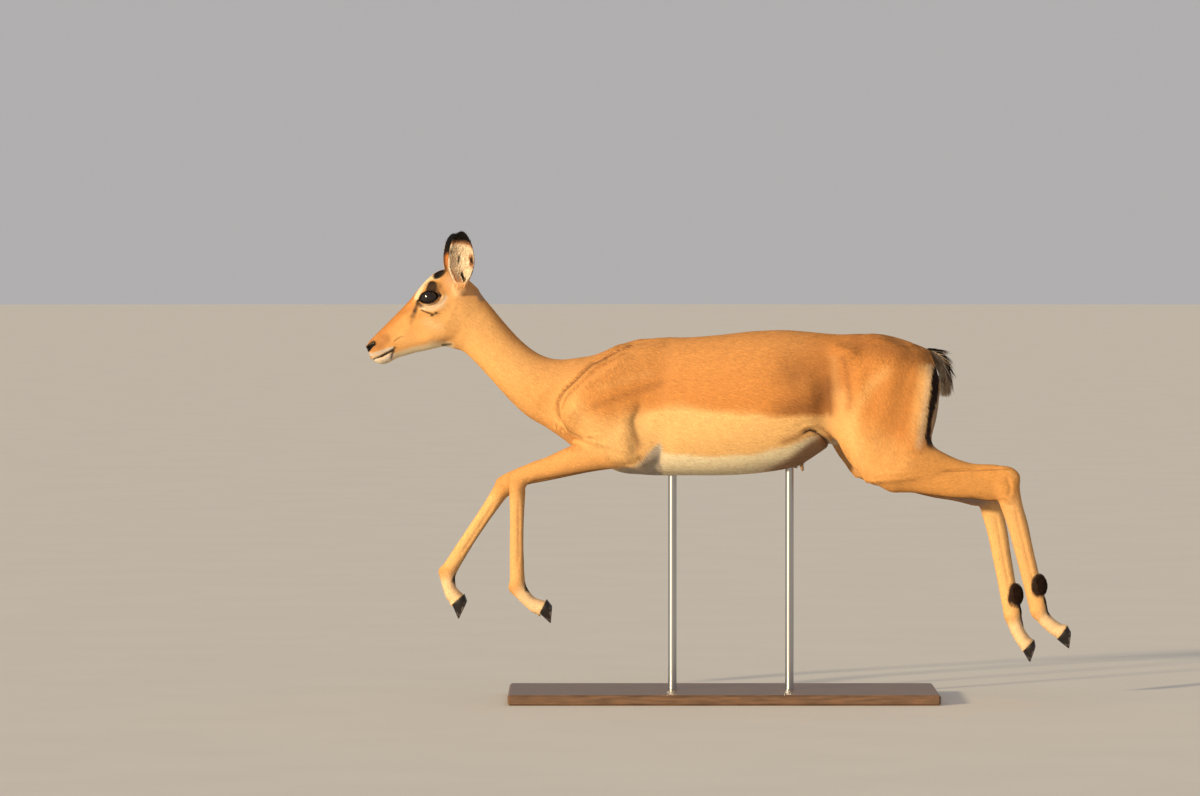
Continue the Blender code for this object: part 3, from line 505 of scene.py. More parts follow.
def shell_of(rings):
    """(points, triangles) of a bent wall: the rings' second halves run back along its inside."""
    count, around = len(rings), len(rings[0])
    half = around // 2
    faces = []
    for i in range(count - 1):
        for j in range(around):
            a, b = i * around + j, i * around + (j + 1) % around
            c, d = a + around, b + around
            faces += [(a, b, d), (a, d, c)] if j < half else [(a, b, c), (b, d, c)]
    for start, turned in ((0, True), ((count - 1) * around, False)):
        for j in range(half - 1):
            quad = (start + j, start + j + 1, start + around - 2 - j, start + around - 1 - j)
            quad = quad[::-1] if turned else quad
            faces += [quad[:3], (quad[0], *quad[2:])]
    return np.vstack(rings), np.array(faces)


def along_line(points, x, z):
    """Signed distance from a line of x and z, positive right of it, and the place along it, 0 to 1."""
    points = np.array(points, float)
    steps = np.diff(points, axis=0)
    lengths = np.linalg.norm(steps, axis=1)
    starts = np.concatenate([[0], np.cumsum(lengths)])
    shape = np.broadcast(x, z).shape
    best, signed, place = np.full(shape, np.inf), np.zeros(shape), np.zeros(shape)
    for (px, pz), (dx, dz), length, start in zip(points, steps, lengths, starts):
        t = np.clip(((x - px) * dx + (z - pz) * dz) / length**2, 0, 1)
        away = np.hypot(x - px - t * dx, z - pz - t * dz)
        turned = (z - pz) * dx - (x - px) * dz
        nearer = away < best
        signed = np.where(nearer, np.where(turned > 0, -away, away), signed)
        place = np.where(nearer, (start + t * length) / starts[-1], place)
        best = np.where(nearer, away, best)
    return signed, place


def soft(low, high, value):
    """0 below low, 1 above high, smooth between."""
    t = np.clip((value - low) / (high - low), 0, 1)
    return t * t * (3 - 2 * t)


class Volume:
    """A signed distance on a grid: negative inside."""

    def __init__(self, low, high, voxel, band):
        self.voxel, self.band = voxel, band
        self.first = np.floor(np.array(low) * MM / voxel).astype(int)
        size = np.ceil(np.array(high) * MM / voxel).astype(int) - self.first
        self.grid = np.full(size, band, np.float32)

    def part_of(self, low, high):
        """The grid's slices over a box in metres, and the box's first voxel, or None if they are apart."""
        low = np.floor(np.array(low) / self.voxel).astype(int)
        high = np.ceil(np.array(high) / self.voxel).astype(int) + 1
        low, high = np.maximum(low, self.first), np.minimum(high, self.first + self.grid.shape)
        if (high <= low).any():
            return None
        return tuple(slice(a, b) for a, b in zip(low - self.first, high - self.first)), low

    def axes(self, part, first):
        """x, y and z of the grid's places in a part, in metres, shaped to broadcast."""
        rows = [(np.arange(n) + f) * self.voxel for n, f in zip(self.grid[part].shape, first)]
        return np.meshgrid(*rows, indexing="ij", sparse=True)

    def mix(self, part, other, blend, carve=False):
        """Joins another distance to this one, or carves it away, with a rounded seam."""
        mine = -self.grid[part] if carve else self.grid[part]
        overlap = np.maximum(blend - np.abs(mine - other), 0)
        both = np.minimum(mine, other) - overlap**2 / (4 * blend)
        self.grid[part] = -both if carve else both

    def add(self, shape, blend):
        """Joins a closed mesh, (points, triangles)."""
        points, triangles = shape
        found = self.part_of(points.min(0) - self.band, points.max(0) + self.band)
        if found is None:
            return
        part, first = found
        made = openvdb.FloatGrid.createLevelSetFromPolygons(
            points.astype(np.float32),
            triangles.astype(np.uint32),
            transform=openvdb.createLinearTransform(self.voxel),
            halfWidth=float(self.band / self.voxel),
        )
        other = np.empty(self.grid[part].shape, np.float32)
        made.copyToArray(other, ijk=tuple(int(n) for n in first))
        self.mix(part, other, blend)

    def add_oval(self, row, side, shift=(0, 0), end_shift=None, carve=False):
        """Joins a long oval between two places, on one side of the body, or carves it away."""
        x1, y1, z1, x2, y2, z2, half, depth, blend = row
        end_shift = end_shift or shift
        start = Vector((x1 + shift[0], side * y1, z1 + shift[1])) * MM
        end = Vector((x2 + end_shift[0], side * y2, z2 + end_shift[1])) * MM
        along = (end - start).normalized()
        across = (Vector((0, 1, 0)) - along * along.y).normalized()
        turn = Matrix((along, across, along.cross(across)))
        long = (end - start).length / 2 + depth * MM * 0.6
        self.add_ellipsoid((start + end) / 2, (long, half * MM, depth * MM), turn, blend * MM, carve)

    def add_ellipsoid(self, centre, radii, turn, blend, carve=False):
        """Joins an ellipsoid whose axes are the rows of turn, or carves it away."""
        centre, radii = np.array(centre), np.array(radii)
        reach = radii.max() + self.band
        found = self.part_of(centre - reach, centre + reach)
        if found is None:
            return
        x, y, z = (a - c for a, c in zip(self.axes(*found), centre))
        u, v, w = (row[0] * x + row[1] * y + row[2] * z for row in turn)
        near = np.sqrt((u / radii[0]) ** 2 + (v / radii[1]) ** 2 + (w / radii[2]) ** 2)
        steep = np.sqrt((u / radii[0] ** 2) ** 2 + (v / radii[1] ** 2) ** 2 + (w / radii[2] ** 2) ** 2)
        other = near * (near - 1) / np.maximum(steep, 1e-6)
        self.mix(found[0], other.astype(np.float32), blend, carve)

    def crease(self, points, width, depth, rise, side):
        """Presses a groove into one side of the body, along a line of x and z in millimetres."""
        points = smooth_rows(points, 5)
        low, high = points.min(0) - 4 * width, points.max(0) + 4 * width
        middle, edge = sorted((0, side * SIDE_REACH))
        found = self.part_of((low[0] * MM, middle, low[1] * MM), (high[0] * MM, edge, high[1] * MM))
        if found is None:
            return
        x, _, z = self.axes(*found)
        away, place = along_line(points, x / MM, z / MM)
        fade = soft(0, 0.2, place) * soft(0, 0.2, 1 - place)
        press = depth * np.exp(-((away / width) ** 2)) - rise * np.exp(-((away / width + 1.8) ** 2))
        self.grid[found[0]] += (press * fade * MM).astype(np.float32)

    def draw_in(self, depth):
        """Moves the surface inward by depth(x, z), all in millimetres."""
        everything = tuple(slice(0, n) for n in self.grid.shape)
        x, _, z = self.axes(everything, self.first)
        self.grid += (depth(x / MM, z / MM) * MM).astype(np.float32)

    def cut(self, point, way, side, reach):
        """Takes away what lies beyond a plane, near a place on one side of the body, all in metres."""
        middle, edge = sorted((0, side * SIDE_REACH))
        found = self.part_of(point - (reach, -middle, reach), point + (reach, edge, reach))
        if found is None:
            return
        x, _, z = (a - c for a, c in zip(self.axes(*found), point))
        self.grid[found[0]] = np.maximum(self.grid[found[0]], (x * way[0] + z * way[2]).astype(np.float32))

    def mesh(self):
        """(points, quads) of the surface."""
        made = openvdb.FloatGrid(1.0)
        made.transform = openvdb.createLinearTransform(self.voxel)
        made.copyFromArray(self.grid, ijk=tuple(int(n) for n in self.first))
        made.background = float(self.grid.max())
        return made.convertToQuads(0.0)


def along_hindleg(x):
    """How far the far hind leg is from the near one, in x and z, where the near one is at x."""
    (stifle, _, stifle_z), (hock, _, hock_z) = NEAR_HINDLEG[:2]
    place = min(max((x - stifle) / (hock - stifle), 0), 1)
    dx = (FAR_HINDLEG[0][0] - stifle) * (1 - place) + (FAR_HINDLEG[1][0] - hock) * place
    dz = (FAR_HINDLEG[0][2] - stifle_z) * (1 - place) + (FAR_HINDLEG[1][2] - hock_z) * place
    return dx, dz


def add_leg_shape(body, row, side, carve=False):
    """A muscle below the stifle, which goes along with the leg's pose."""
    shifts = [(0, 0), (0, 0)]
    if side == FAR:
        shifts = [along_hindleg(row[0]), along_hindleg(row[3])]
    body.add_oval(row, side, *shifts, carve=carve)


def gland_frame(joints, side):
    """Centre of a scent gland, and the ways along the bone and behind it."""
    hock, fetlock = Vector(joints[1]), Vector(joints[2])
    along = (fetlock - hock).normalized()
    along = Vector((along.x, 0, along.z)).normalized()
    behind = Vector((-along.z, 0, along.x))
    centre = hock.lerp(fetlock, GLAND_PLACES[side]) + behind * GLAND_BEHIND
    centre.y *= side
    return centre * MM, along, behind


def add_body(body):
    """The whole animal without hooves, ears and eyes, out to the tips of the coat."""
    body.add(trunk_loft(), BLENDS["trunk"] * MM)
    body.add(neck_loft(), BLENDS["neck"] * MM)
    body.add(head_loft(), BLENDS["head"] * MM)
    for side, foreleg, hindleg in SIDES:
        body.add(limb_top_loft(SHOULDER, side), BLENDS["shoulder"] * MM)
        body.add(leg_loft(foreleg, FORELEG, side), BLENDS["foreleg"] * MM)
        body.add(limb_top_loft(thigh_stations(side), side), BLENDS["thigh"] * MM)
        body.add(leg_loft(hindleg, HINDLEG, side), BLENDS["hindleg"] * MM)
        for row in BODY_SHAPES:
            swings = side == FAR and row[0] > 0 and row[5] < 600
            body.add_oval(row, side, (0, 0), FAR_STIFLE_SHIFT if swings else (0, 0))
        for row in LOWER_SHAPES:
            add_leg_shape(body, row, side)
        for row in BODY_HOLLOWS:
            body.add_oval(row, side, carve=True)
        add_leg_shape(body, CALF_HOLLOW, side, carve=True)
        centre, along, behind = gland_frame(hindleg, side)
        radii = (np.array(GLAND_RADII) - 2) * MM
        body.add_ellipsoid(centre, radii, (along, Vector((0, 1, 0)), behind), BLENDS["gland"] * MM)
        for row in HEAD_SHAPES:
            body.add_oval(row, side)
        for row in HEAD_HOLLOWS:
            body.add_oval(row, side, carve=True)


def shifted(points, side):
    """A line of the near hind leg, moved to the leg on a side."""
    if side == NEAR:
        return points
    found = []
    for x, z in points:
        dx, dz = along_hindleg(x)
        found.append((x + dx, z + dz))
    return found


def add_creases(body):
    """The folds of the skin and the grooves between tendons."""
    for side, foreleg, hindleg in SIDES:
        for points, *profile in (*BODY_CREASES, *HEAD_CREASES):
            body.crease(points, *profile, side)
        for points, *profile in LEG_CREASES:
            if side == NEAR or points[0][0] > 0:
                body.crease(shifted(points, side), *profile, side)
        for joints in (foreleg, hindleg):
            start, end = (np.array(joints[i])[[0, 2]] for i in (1, 2))
            step = end - start
            behind = np.array([-step[1], step[0]]) / np.linalg.norm(step) * CANNON_GROOVE[2]
            line = [start + step * share + behind for share in np.linspace(*CANNON_GROOVE[:2], 4)]
            body.crease(line, GROOVE_WIDTH, GROOVE_DEPTH, 0.2, side)


def coat_depth(x, z):
    """How deep the coat is, in millimetres, at a place of the side view."""
    depth = COAT_SHORT + COAT_LONGER * soft(430, 520, z) * (1 - soft(430, 520, x))
    return depth * (COAT_ON_FACE + (1 - COAT_ON_FACE) * soft(-640, -480, x))


def eye_axes(side):
    """Centre of an eye, and the ways back along its opening, up and out, as arrays in metres."""
    out = on_side(EYE_OUT, side)
    out /= np.linalg.norm(out)
    back = np.array([math.cos(EYE_TILT), 0, math.sin(EYE_TILT)])
    back -= out * (back @ out)
    back /= np.linalg.norm(back)
    up = np.cross(back, out) * (1 if side == NEAR else -1)
    return on_side(EYE_CENTRE, side) * MM, back, up, out


def eye_opening(points, side):
    """Places near an eye, in millimetres: distance outside its almond opening, height and reach out."""
    centre, *axes = eye_axes(side)
    u, v, w = ((sum(a * c for a, c in zip(axis, points)) - axis @ centre) / MM for axis in axes)
    long, high = EYE_HALF
    lower = (long**2 - high**2) / (2 * high)  # the lids are arcs round centres this far beyond the middle
    corner = np.hypot(np.abs(u) - long, v)
    lid = np.hypot(u, np.abs(v) + lower) - (lower + high)
    outside = np.where((np.abs(u) - long) * lower > np.abs(v) * long, corner, lid)
    return outside, v, w


def add_eyelids(head, side):
    """Lids that follow the eyeball, with an almond opening and folds round it."""
    centre = eye_axes(side)[0]
    head.add_ellipsoid(centre, (LID_RADIUS * MM,) * 3, Matrix.Identity(3), BLENDS["lids"] * MM)
    part, first = head.part_of(centre - EYE_ROUND, centre + EYE_ROUND)
    outside, height, out = eye_opening(head.axes(part, first), side)
    near = (out > 0) * np.exp(-((outside / 14) ** 4))
    fold = np.where(height > 0, 1.3, 0.7) * np.exp(-(((outside - 5.5) / 1.5) ** 2))
    rim = 0.5 * np.exp(-(((outside - 1.8) / 1.3) ** 2))
    head.grid[part] += ((fold - rim) * near * MM).astype(np.float32)
    return part, (np.maximum(outside, 3 - out) * MM).astype(np.float32)


def new_object(name, points, faces):
    """A mesh object from arrays of points and of faces with equally many corners."""
    faces = np.ascontiguousarray(faces, np.int32)
    corners = faces.shape[1]
    mesh = bpy.data.meshes.new(name)
    mesh.vertices.add(len(points))
    mesh.vertices.foreach_set("co", np.ascontiguousarray(points, np.float32).ravel())
    mesh.loops.add(faces.size)
    mesh.loops.foreach_set("vertex_index", faces.ravel())
    mesh.polygons.add(len(faces))
    mesh.polygons.foreach_set("loop_start", np.arange(0, faces.size, corners, dtype=np.int32))
    mesh.update(calc_edges=True)
    found = bpy.data.objects.new(name, mesh)
    bpy.context.scene.collection.objects.link(found)
    return found


def settle(found):
    """Makes an object's modifiers part of its mesh."""
    scene = bpy.context.evaluated_depsgraph_get()
    mesh = bpy.data.meshes.new_from_object(found.evaluated_get(scene))
    found.modifiers.clear()
    old = found.data
    found.data = mesh
    bpy.data.meshes.remove(old)


def surface(volume, name, triangles):
    """A volume's surface as an object of about so many triangles."""
    points, quads = volume.mesh()
    found = new_object(name, points, quads[:, ::-1])
    modifier = found.modifiers.new("fewer", "DECIMATE")
    modifier.ratio = min(1, triangles / (2 * len(quads)))
    settle(found)
    return found


def make_body():
    """The skin of all but the head, with its foot ends cut flat."""
    body = Volume(*BODY_BOX, BODY_VOXEL, BODY_BAND)
    add_body(body)
    body.add(tail_loft(), BLENDS["tail"] * MM)
    add_creases(body)
    body.draw_in(coat_depth)
    for leg, side, _ in LEGS:
        point, way = coronet_plane(leg)
        body.cut(point + way * 1.2 * MM, way, side, 60 * MM)
    return surface(body, "skin", BODY_TRIANGLES)


def make_head():
    """The finely made skin of the head, with its ears and the openings of its eyes."""
    head = Volume(*HEAD_BOX, HEAD_VOXEL, HEAD_BAND)
    add_body(head)
    openings = [add_eyelids(head, side) for side in (NEAR, FAR)]
    add_creases(head)
    head.draw_in(coat_depth)
    for side in (NEAR, FAR):
        head.add(ear_loft(side), BLENDS["ear"] * MM)
        head.add_oval(EAR_ROOT, side)
    for part, opening in openings:
        head.mix(part, opening, BLENDS["opening"] * MM, carve=True)
    return surface(head, "head_skin", HEAD_TRIANGLES)


def part_beyond(mesh, point, way):
    """What a mesh has on the far side of a plane, as a new mesh."""
    part = bmesh.new()
    part.from_mesh(mesh)
    geometry = [*part.verts, *part.edges, *part.faces]
    bmesh.ops.bisect_plane(part, geom=geometry, plane_co=point, plane_no=way, clear_outer=True)
    kept = bpy.data.meshes.new("kept")
    part.to_mesh(kept)
    part.free()
    return kept


def make_skin():
    """One closed skin: the head and the body, cut at one plane and bridged."""
    body, head = make_body(), make_head()
    point, out = Vector(HEAD_CUT[0]) * MM, Vector(HEAD_CUT[1])
    shape = bmesh.new()
    shape.from_mesh(part_beyond(head.data, point, out))
    shape.from_mesh(part_beyond(body.data, point + out * HEAD_BRIDGE * MM, -out))
    bmesh.ops.bridge_loops(shape, edges=[edge for edge in shape.edges if edge.is_boundary])
    bmesh.ops.triangulate(shape, faces=shape.faces)
    bmesh.ops.recalc_face_normals(shape, faces=shape.faces)
    shape.to_mesh(body.data)
    shape.free()
    bpy.data.objects.remove(head)
    body.data.shade_smooth()
    return body


# ---------------------------------------------------------------- the lie of the coat

# Lines inside the body which say how the coat lies near them: piece of the coat, start, end, reach,
# and the way the hair points. Places are in millimetres; None means along the line.
MIDDLE_BONES = [
    ("head", (-733, 0, 742), (-612, 0, 866), 24, (0.72, 0, 0.69)),
    ("head", (-722, 0, 722), (-560, 0, 775), 26, (1, 0, 0.12)),
    ("head", (-606, 0, 872), (-545, 0, 862), 36, (1, 0, -0.1)),
    ("neck", (-530, 0, 805), (-380, 0, 660), 45, None),
    ("trunk_front", (-340, 0, 640), (-110, 0, 625), 95, (0.9, 0, -0.42)),
    ("trunk_rear", (-110, 0, 625), (230, 0, 650), 105, (0.94, 0, -0.34)),
    ("trunk_front", (-300, 0, 735), (-60, 0, 755), 22, (1, 0, -0.03)),
    ("trunk_rear", (-60, 0, 755), (420, 0, 750), 22, (1, 0, -0.05)),
    ("trunk_front", (-250, 0, 505), (-60, 0, 488), 25, (1, 0, 0)),
    ("trunk_rear", (-60, 0, 488), (200, 0, 505), 25, (1, 0, 0.05)),
    ("trunk_front", (-345, 0, 600), (-285, 0, 525), 25, (0.45, 0, -0.9)),
    ("tail", (436, 0, 728), (470, 0, 690), 14, None),
    ("tail", (470, 0, 690), (477, 0, 643), 14, None),
]
SIDE_BONES = [
    ("trunk_front", (-220, 55, 700), (-310, 70, 610), 40, (0.5, 0, -0.87)),
    ("trunk_front", (-310, 72, 600), (-195, 70, 530), 38, (0.75, 0, -0.66)),
    ("thigh", (340, 55, 730), (350, 80, 520), 55, (0.42, 0, -0.9)),
    ("thigh", (430, 30, 705), (432, 60, 540), 22, (0.15, 0, -1)),
]
LEG_REACHES = {"foreleg": (30, 15, 17), "hindleg": (38, 20, 18)}
EAR_REACH = 26

KINDS = {  # length, width and height of a tuft in millimetres, and how many layers deep they lie
    "head": (4.4, 0.9, 0.25, 1.6),
    "ear": (4.5, 0.9, 0.2, 1.4),
    "neck": (8.5, 1.35, 0.3, 1.6),
    "trunk_front": (10.5, 1.5, 0.3, 1.65),
    "trunk_rear": (11.0, 1.5, 0.3, 1.65),
    "thigh": (10.0, 1.45, 0.3, 1.7),
    "foreleg": (6.4, 1.1, 0.25, 1.4),
    "hindleg": (6.8, 1.15, 0.25, 1.4),
    "tail": (6.0, 1.4, 0.4, 1.6),
}
SIDED = ("ear", "trunk_front", "trunk_rear", "thigh", "foreleg", "hindleg")
PATCH = 0.003  # a tuft's size on its piece's OFBake map
SINK = 0.3 * MM  # how deep a tuft's root is in the skin
LIFT = 0.25 * MM  # how high its tip is above it
SWIRL = math.radians(9)  # how far tufts turn from the lie
TEAT_BARE = (10, 20)  # tufts are shorter this near the teat's end
LOCK_CORNERS = (0, 2.09, 4.19)  # where a lock's three edges are round it, in radians
TAIL_LOCKS, GLAND_LOCKS, LASHES = 1150, 900, 46
EAR_LOCKS = 0.055 / MM / MM  # in a square metre
GLAND_COAT = (3.2, 3.2, 3.6)  # how far inside the gland's radii its hair starts
FETLOCK_LOCKS = {  # how many, lowest and highest place along the leg, reach behind it, spread to the sides
    "foreleg": (140, -8, 12, 16, 0.5),
    "hindleg": (170, -18, 30, 17, 0.28),
}

rng = np.random.default_rng(7)


def all_bones():
    """Every line of the coat's lie as (piece, start, end, reach, way), both sides."""
    bones = list(MIDDLE_BONES)
    for side in (NEAR, FAR):
        for piece, start, end, reach, way in SIDE_BONES:
            bones.append((piece, on_side(start, side), on_side(end, side), reach, way))
        ear_start = np.array(EAR_BASE) + 0.12 * (np.array(EAR_TIP) - EAR_BASE)
        bones.append(("ear", on_side(ear_start, side), on_side(EAR_TIP, side), EAR_REACH, None))
    for leg, side, joints in LEGS:
        piece = leg.split("_")[0]
        for start, end, reach in zip(joints, joints[1:], LEG_REACHES[piece]):
            bones.append((piece, on_side(start, side), on_side(end, side), reach, None))
    return bones


class Lie:
    """How the coat lies at given places, in metres: nearness to bones, place along them, way and piece."""

    bones = all_bones()

    def __init__(self, points):
        points = points / MM
        near, self.along, ways = [], [], []
        for _, start, end, reach, way in self.bones:
            start, step = np.array(start, float), np.array(end, float) - start
            along = ((points - start) @ step) / (step @ step)
            self.along.append(along)
            away = np.linalg.norm(points - start - np.clip(along, 0, 1)[:, None] * step, axis=1) / reach
            near.append(1 / (away**6 + 1e-3))
            way = np.array(step if way is None else way, float)
            ways.append(way / np.linalg.norm(way))
        near = np.array(near)
        self.share = near / near.sum(0)
        self.nearest = near.argmax(0)
        self.way = self.share.T @ np.array(ways)
        self.pieces = np.array([bone[0] for bone in self.bones])

    def of(self, *names):
        """How far, from 0 to 1, each place belongs to these pieces of the coat."""
        return sum(self.share[i] for i, name in enumerate(self.pieces) if name in names)

    def of_bone(self, piece, number):
        """The same for one bone of a piece on both sides, counted from 0 in the order of LEG_REACHES."""
        found = [i for i, name in enumerate(self.pieces) if name == piece]
        return sum(self.share[i] for i in found[number::3])

    def unwrap(self, points):
        """Places from 0 to 1 each way on a piece's own unwrapped shape: round its bones, and along them."""
        points = points / MM
        found = np.zeros((len(points), 2))
        for piece in np.unique(self.pieces):
            bones = np.flatnonzero(self.pieces == piece)
            for rank, i in enumerate(bones):
                mine = self.nearest == i
                start = np.array(self.bones[i][1], float)
                step = np.array(self.bones[i][2], float) - start
                step /= np.linalg.norm(step)
                side = np.cross(step, (0, 1, 0))
                away = points[mine] - start
                turn = np.arctan2(away @ np.cross(side, step), away @ side) / (2 * math.pi) + 0.5
                place = np.clip(self.along[i][mine] * 0.8 + 0.1, 0, 1)
                found[mine] = np.stack([turn, (rank + place) / len(bones)], 1)
        return 0.004 + 0.992 * found


# ---------------------------------------------------------------- markings and painted light

COLOURS = {  # red, green and blue as on a screen, 0 to 255
    "saddle": (209, 139, 72),
    "back": (214, 156, 96),
    "tan": (226, 165, 98),
    "band": (240, 188, 122),
    "white": (252, 230, 190),
    "shaded white": (214, 200, 178),
    # darker top of the neck, partly painted shade; on the inner fronts of the thighs it is painted shade
    "nape": (156, 104, 60),
    "throat": (240, 184, 112),
    "shank": (222, 157, 86),
    "pastern": (250, 212, 166),
    "cannon": (240, 184, 120),
    # paler inner sides of the cannons, partly painted light
    "pale inner leg and painted light": (242, 190, 124),
    "shade": (134, 128, 130),
    "chin": (252, 228, 206),
    "black": (14, 10, 9),
    "gland": (42, 23, 13),
    "stripe": (34, 20, 16),
    # painted shade: the white hair behind the black stripes, greyed
    "shaded_rump": (176, 146, 122),
    "dark brown": (72, 42, 24),
    "brown": (128, 80, 46),
    "cheek": (226, 168, 98),
    "nose": (178, 106, 44),
    "cream": (250, 220, 186),
    "smoke": (44, 30, 25),
    "lip": (212, 202, 190),
    "muzzle": (176, 116, 66),
    "ear": (204, 122, 60),
    "ear inside": (248, 226, 196),
    "lid": (30, 19, 14),
    "tail": (172, 146, 120),
    "tail white": (222, 210, 192),
}
SADDLE_LINE = [
    (-330, 600), (-239, 600), (-168, 612), (-109, 622), (0, 616), (100, 607), (235, 600),
    (290, 590), (340, 560), (400, 520), (440, 500),
]
BELLY_LINE = [
    (-330, 470), (-242, 484), (-178, 492), (-166, 503), (-146, 528), (-124, 545), (-118, 522),
    (-95, 517), (0, 515), (60, 518), (130, 532), (172, 549), (235, 570), (300, 560),
]
WOBBLE, WOBBLE_LENGTH = 5, 60  # how far the edges between colours wander, and over what length
# painted shade under the rear of the belly
BELLY_SHADE = ((20, 90, 150, 210), (58, 40, 22, 4))  # x, and how far below the belly's line it is darker
STRIPE_LINE = [(457, 703), (452.5, 670), (445.5, 628), (439.5, 587), (435.5, 558), (442, 532)]
STRIPE_REAR = ([532, 558, 587, 628, 670, 703], [445, 439, 443, 450, 460, 466])  # z, and x of its rear
PALE_LINE = [(441, 706), (437, 670), (431, 628), (425, 587), (420, 558), (416, 540)]

# painted shadow of the ear on the nape
EAR_SHADOW_STROKE = ([(-520, 880), (-498, 850)], 9, 9, "shade", 0.75)  # on the neck and on the head

# Strokes of colour, of painted shade and of painted highlights on each side of the trunk, neck and thighs:
# a line's x and z, its half width, its soft edge, its colour and its strength.
SADDLE_STROKES = [  # these end at the saddle's edge
    # darker flank below the loin and in front of the thigh: partly darker hair, partly painted shade in its
    # hollows
    ([(150, 690), (222, 702)], 34, 90, "brown", 0.42),
    ([(140, 604), (196, 620), (226, 650)], 26, 60, "brown", 0.65),
]
BODY_STROKES = [
    # painted shade along the shoulder's fold, partly a darker hair parting
    ([(-188, 746), (-210, 734), (-236, 719)], 1.5, 4, "dark brown", 0.6),
    ([(-236, 719), (-265, 705), (-292, 680), (-321, 652)], 1.9, 3.6, "dark brown", 0.7),
    ([(-321, 652), (-335, 625), (-333, 598)], 1.8, 4.0, "dark brown", 0.45),
    ([(-333, 598), (-315, 570), (-287, 554)], 1.2, 3.0, "dark brown", 0.45),
    # painted shade in the groove below the shoulder blade's spine, and a painted highlight on the ridge
    # above it
    ([(-262, 622), (-180, 650), (-122, 668)], 7, 16, "brown", 0.32),
    ([(-251, 661), (-146, 689)], 6, 20, "band", 0.22),
    ([(-300, 622), (-290, 596)], 14, 30, "band", 0.35),
    # painted shade in the hollow behind the triceps
    ([(-172, 622), (-183, 588), (-176, 562), (-168, 540)], 4, 15, "dark brown", 0.65),
    ([(-176, 560), (-168, 512)], 3, 12, "brown", 0.5),
    # darker hair and painted shade under the flank's fold, and a painted shadow in the slot beneath the
    # fold
    ([(132, 546), (158, 556), (178, 567)], 5, 14, "brown", 0.6),
    ([(176, 563), (190, 569), (202, 566)], 3.2, 3, "black", 0.9),
    ([(202, 566), (222, 549), (236, 530)], 1.8, 3, "dark brown", 0.8),
    ([(-502, 852), (-440, 776), (-390, 738), (-330, 716)], 8, 44, "saddle", 0.6),
    # painted shade in the hollows in front of the thigh and between hip and thigh, and painted highlights
    # on the ridges of the thigh's front, partly its paler hair
    ([(226, 682), (230, 645), (234, 602)], 2.5, 12, "brown", 0.6),
    ([(236, 716), (243, 670), (249, 612)], 7, 20, "band", 0.25),
    ([(256, 640), (262, 590), (290, 510)], 14, 40, "band", 0.5),
    ([(257, 720), (264, 690), (270, 645), (268, 614)], 3, 14, "brown", 0.65),
    ([(346, 694), (309, 661), (282, 608), (276, 560)], 8, 34, "band", 0.55),
    ([(290, 752), (366, 738), (424, 716)], 18, 44, "brown", 0.5),
    # painted shade in the hollow between the side and the back of the thigh
    ([(398, 655), (372, 590), (346, 540)], 6, 44, "brown", 0.15),
    EAR_SHADOW_STROKE,
]
LEG_STROKES = [  # the same on the near hind leg
    # painted shade in the Achilles groove and along the hock's crease, and a painted highlight on the point
    # of the hock
    ([(462, 483), (530, 484), (601, 487)], 1.1, 2.8, "brown", 0.6),
    ([(604, 484), (618, 470)], 2, 5, "band", 0.5),
    ([(590, 428), (606, 420), (618, 412)], 1.0, 3, "brown", 0.4),
]

HEAD_STROKES = [  # the same on each side of the head
    ([(-736, 764), (-690, 808), (-640, 858)], 14, 14, "nose", 0.75),
    ([(-712, 764), (-664, 808), (-640, 828)], 4, 14, "nose", 0.5),
    ([(-736, 742), (-716, 747), (-700, 758)], 12, 12, "muzzle", 0.65),
    ([(-662, 756), (-622, 764), (-602, 776), (-581, 772)], 14, 26, "band", 0.5),
    ([(-612, 795), (-590, 788)], 10, 20, "cream", 0.2),
    # pale jaw, made whiter on its underside as painted light
    ([(-690, 714), (-640, 730), (-590, 740), (-566, 742)], 10, 14, "white", 0.9),
    ([(-560, 880), (-548, 858)], 12, 20, "cream", 0.35),
    ([(-634, 843), (-622, 867), (-604, 885), (-589, 888)], 4.4, 5, "white", 0.8),
    ([(-616, 868), (-604, 881), (-588, 878), (-582, 866)], 2.5, 5, "cheek", 0.7),
    ([(-604, 860), (-601, 869)], 11, 3, "smoke", 0.97),
    ([(-593, 866), (-586, 856)], 3, 5, "smoke", 0.6),
    ([(-622, 825), (-602, 823), (-581, 833), (-573, 845)], 5.5, 8, "cream", 0.85),
    ([(-630, 834), (-624, 828)], 5, 7, "smoke", 0.8),
    ([(-631, 832), (-637, 816)], 4, 7, "smoke", 0.82),
    ([(-636, 818), (-641, 806)], 3.5, 8, "smoke", 0.6),
    ([(-640, 807), (-646, 790)], 2, 9, "smoke", 0.4),
    ([(-624, 829), (-612, 824)], 2.5, 5, "smoke", 0.35),
    ([(-631, 838), (-622, 841)], 2.4, 1.6, "black", 1.0),
    ([(-595, 851.5), (-587, 850)], 4.2, 2.4, "black", 1.0),
    ([(-588, 850), (-583.5, 850)], 2.2, 2.0, "black", 1.0),
    ([(-623, 819), (-613, 815), (-605, 812)], 2.0, 1.6, "dark brown", 0.9),
    ([(-602, 809), (-592, 813.5)], 2.9, 1.6, "black", 1.0),
    ([(-680, 753), (-664, 763.5)], 1.2, 1.4, "dark brown", 0.9),
    ([(-740, 730), (-726, 724), (-712, 729), (-686, 739)], 3.4, 3.0, "lip", 0.8),
    ([(-724, 709), (-704, 712), (-686, 722)], 7, 4, "chin", 0.95),
    ([(-732, 715), (-725, 716), (-708, 722), (-682, 736)], 2.3, 1.2, "black", 1.0),
    ([(-688, 716), (-685, 728), (-680, 740)], 2.4, 4, "smoke", 0.9),
    ([(-735, 736), (-730, 743), (-724, 748)], 5, 2.2, "black", 1.0),
    # painted shade in the crease at the corner of the jaw and throat
    ([(-580, 746), (-562, 748)], 2.6, 2.6, "black", 0.85),
    EAR_SHADOW_STROKE,
]
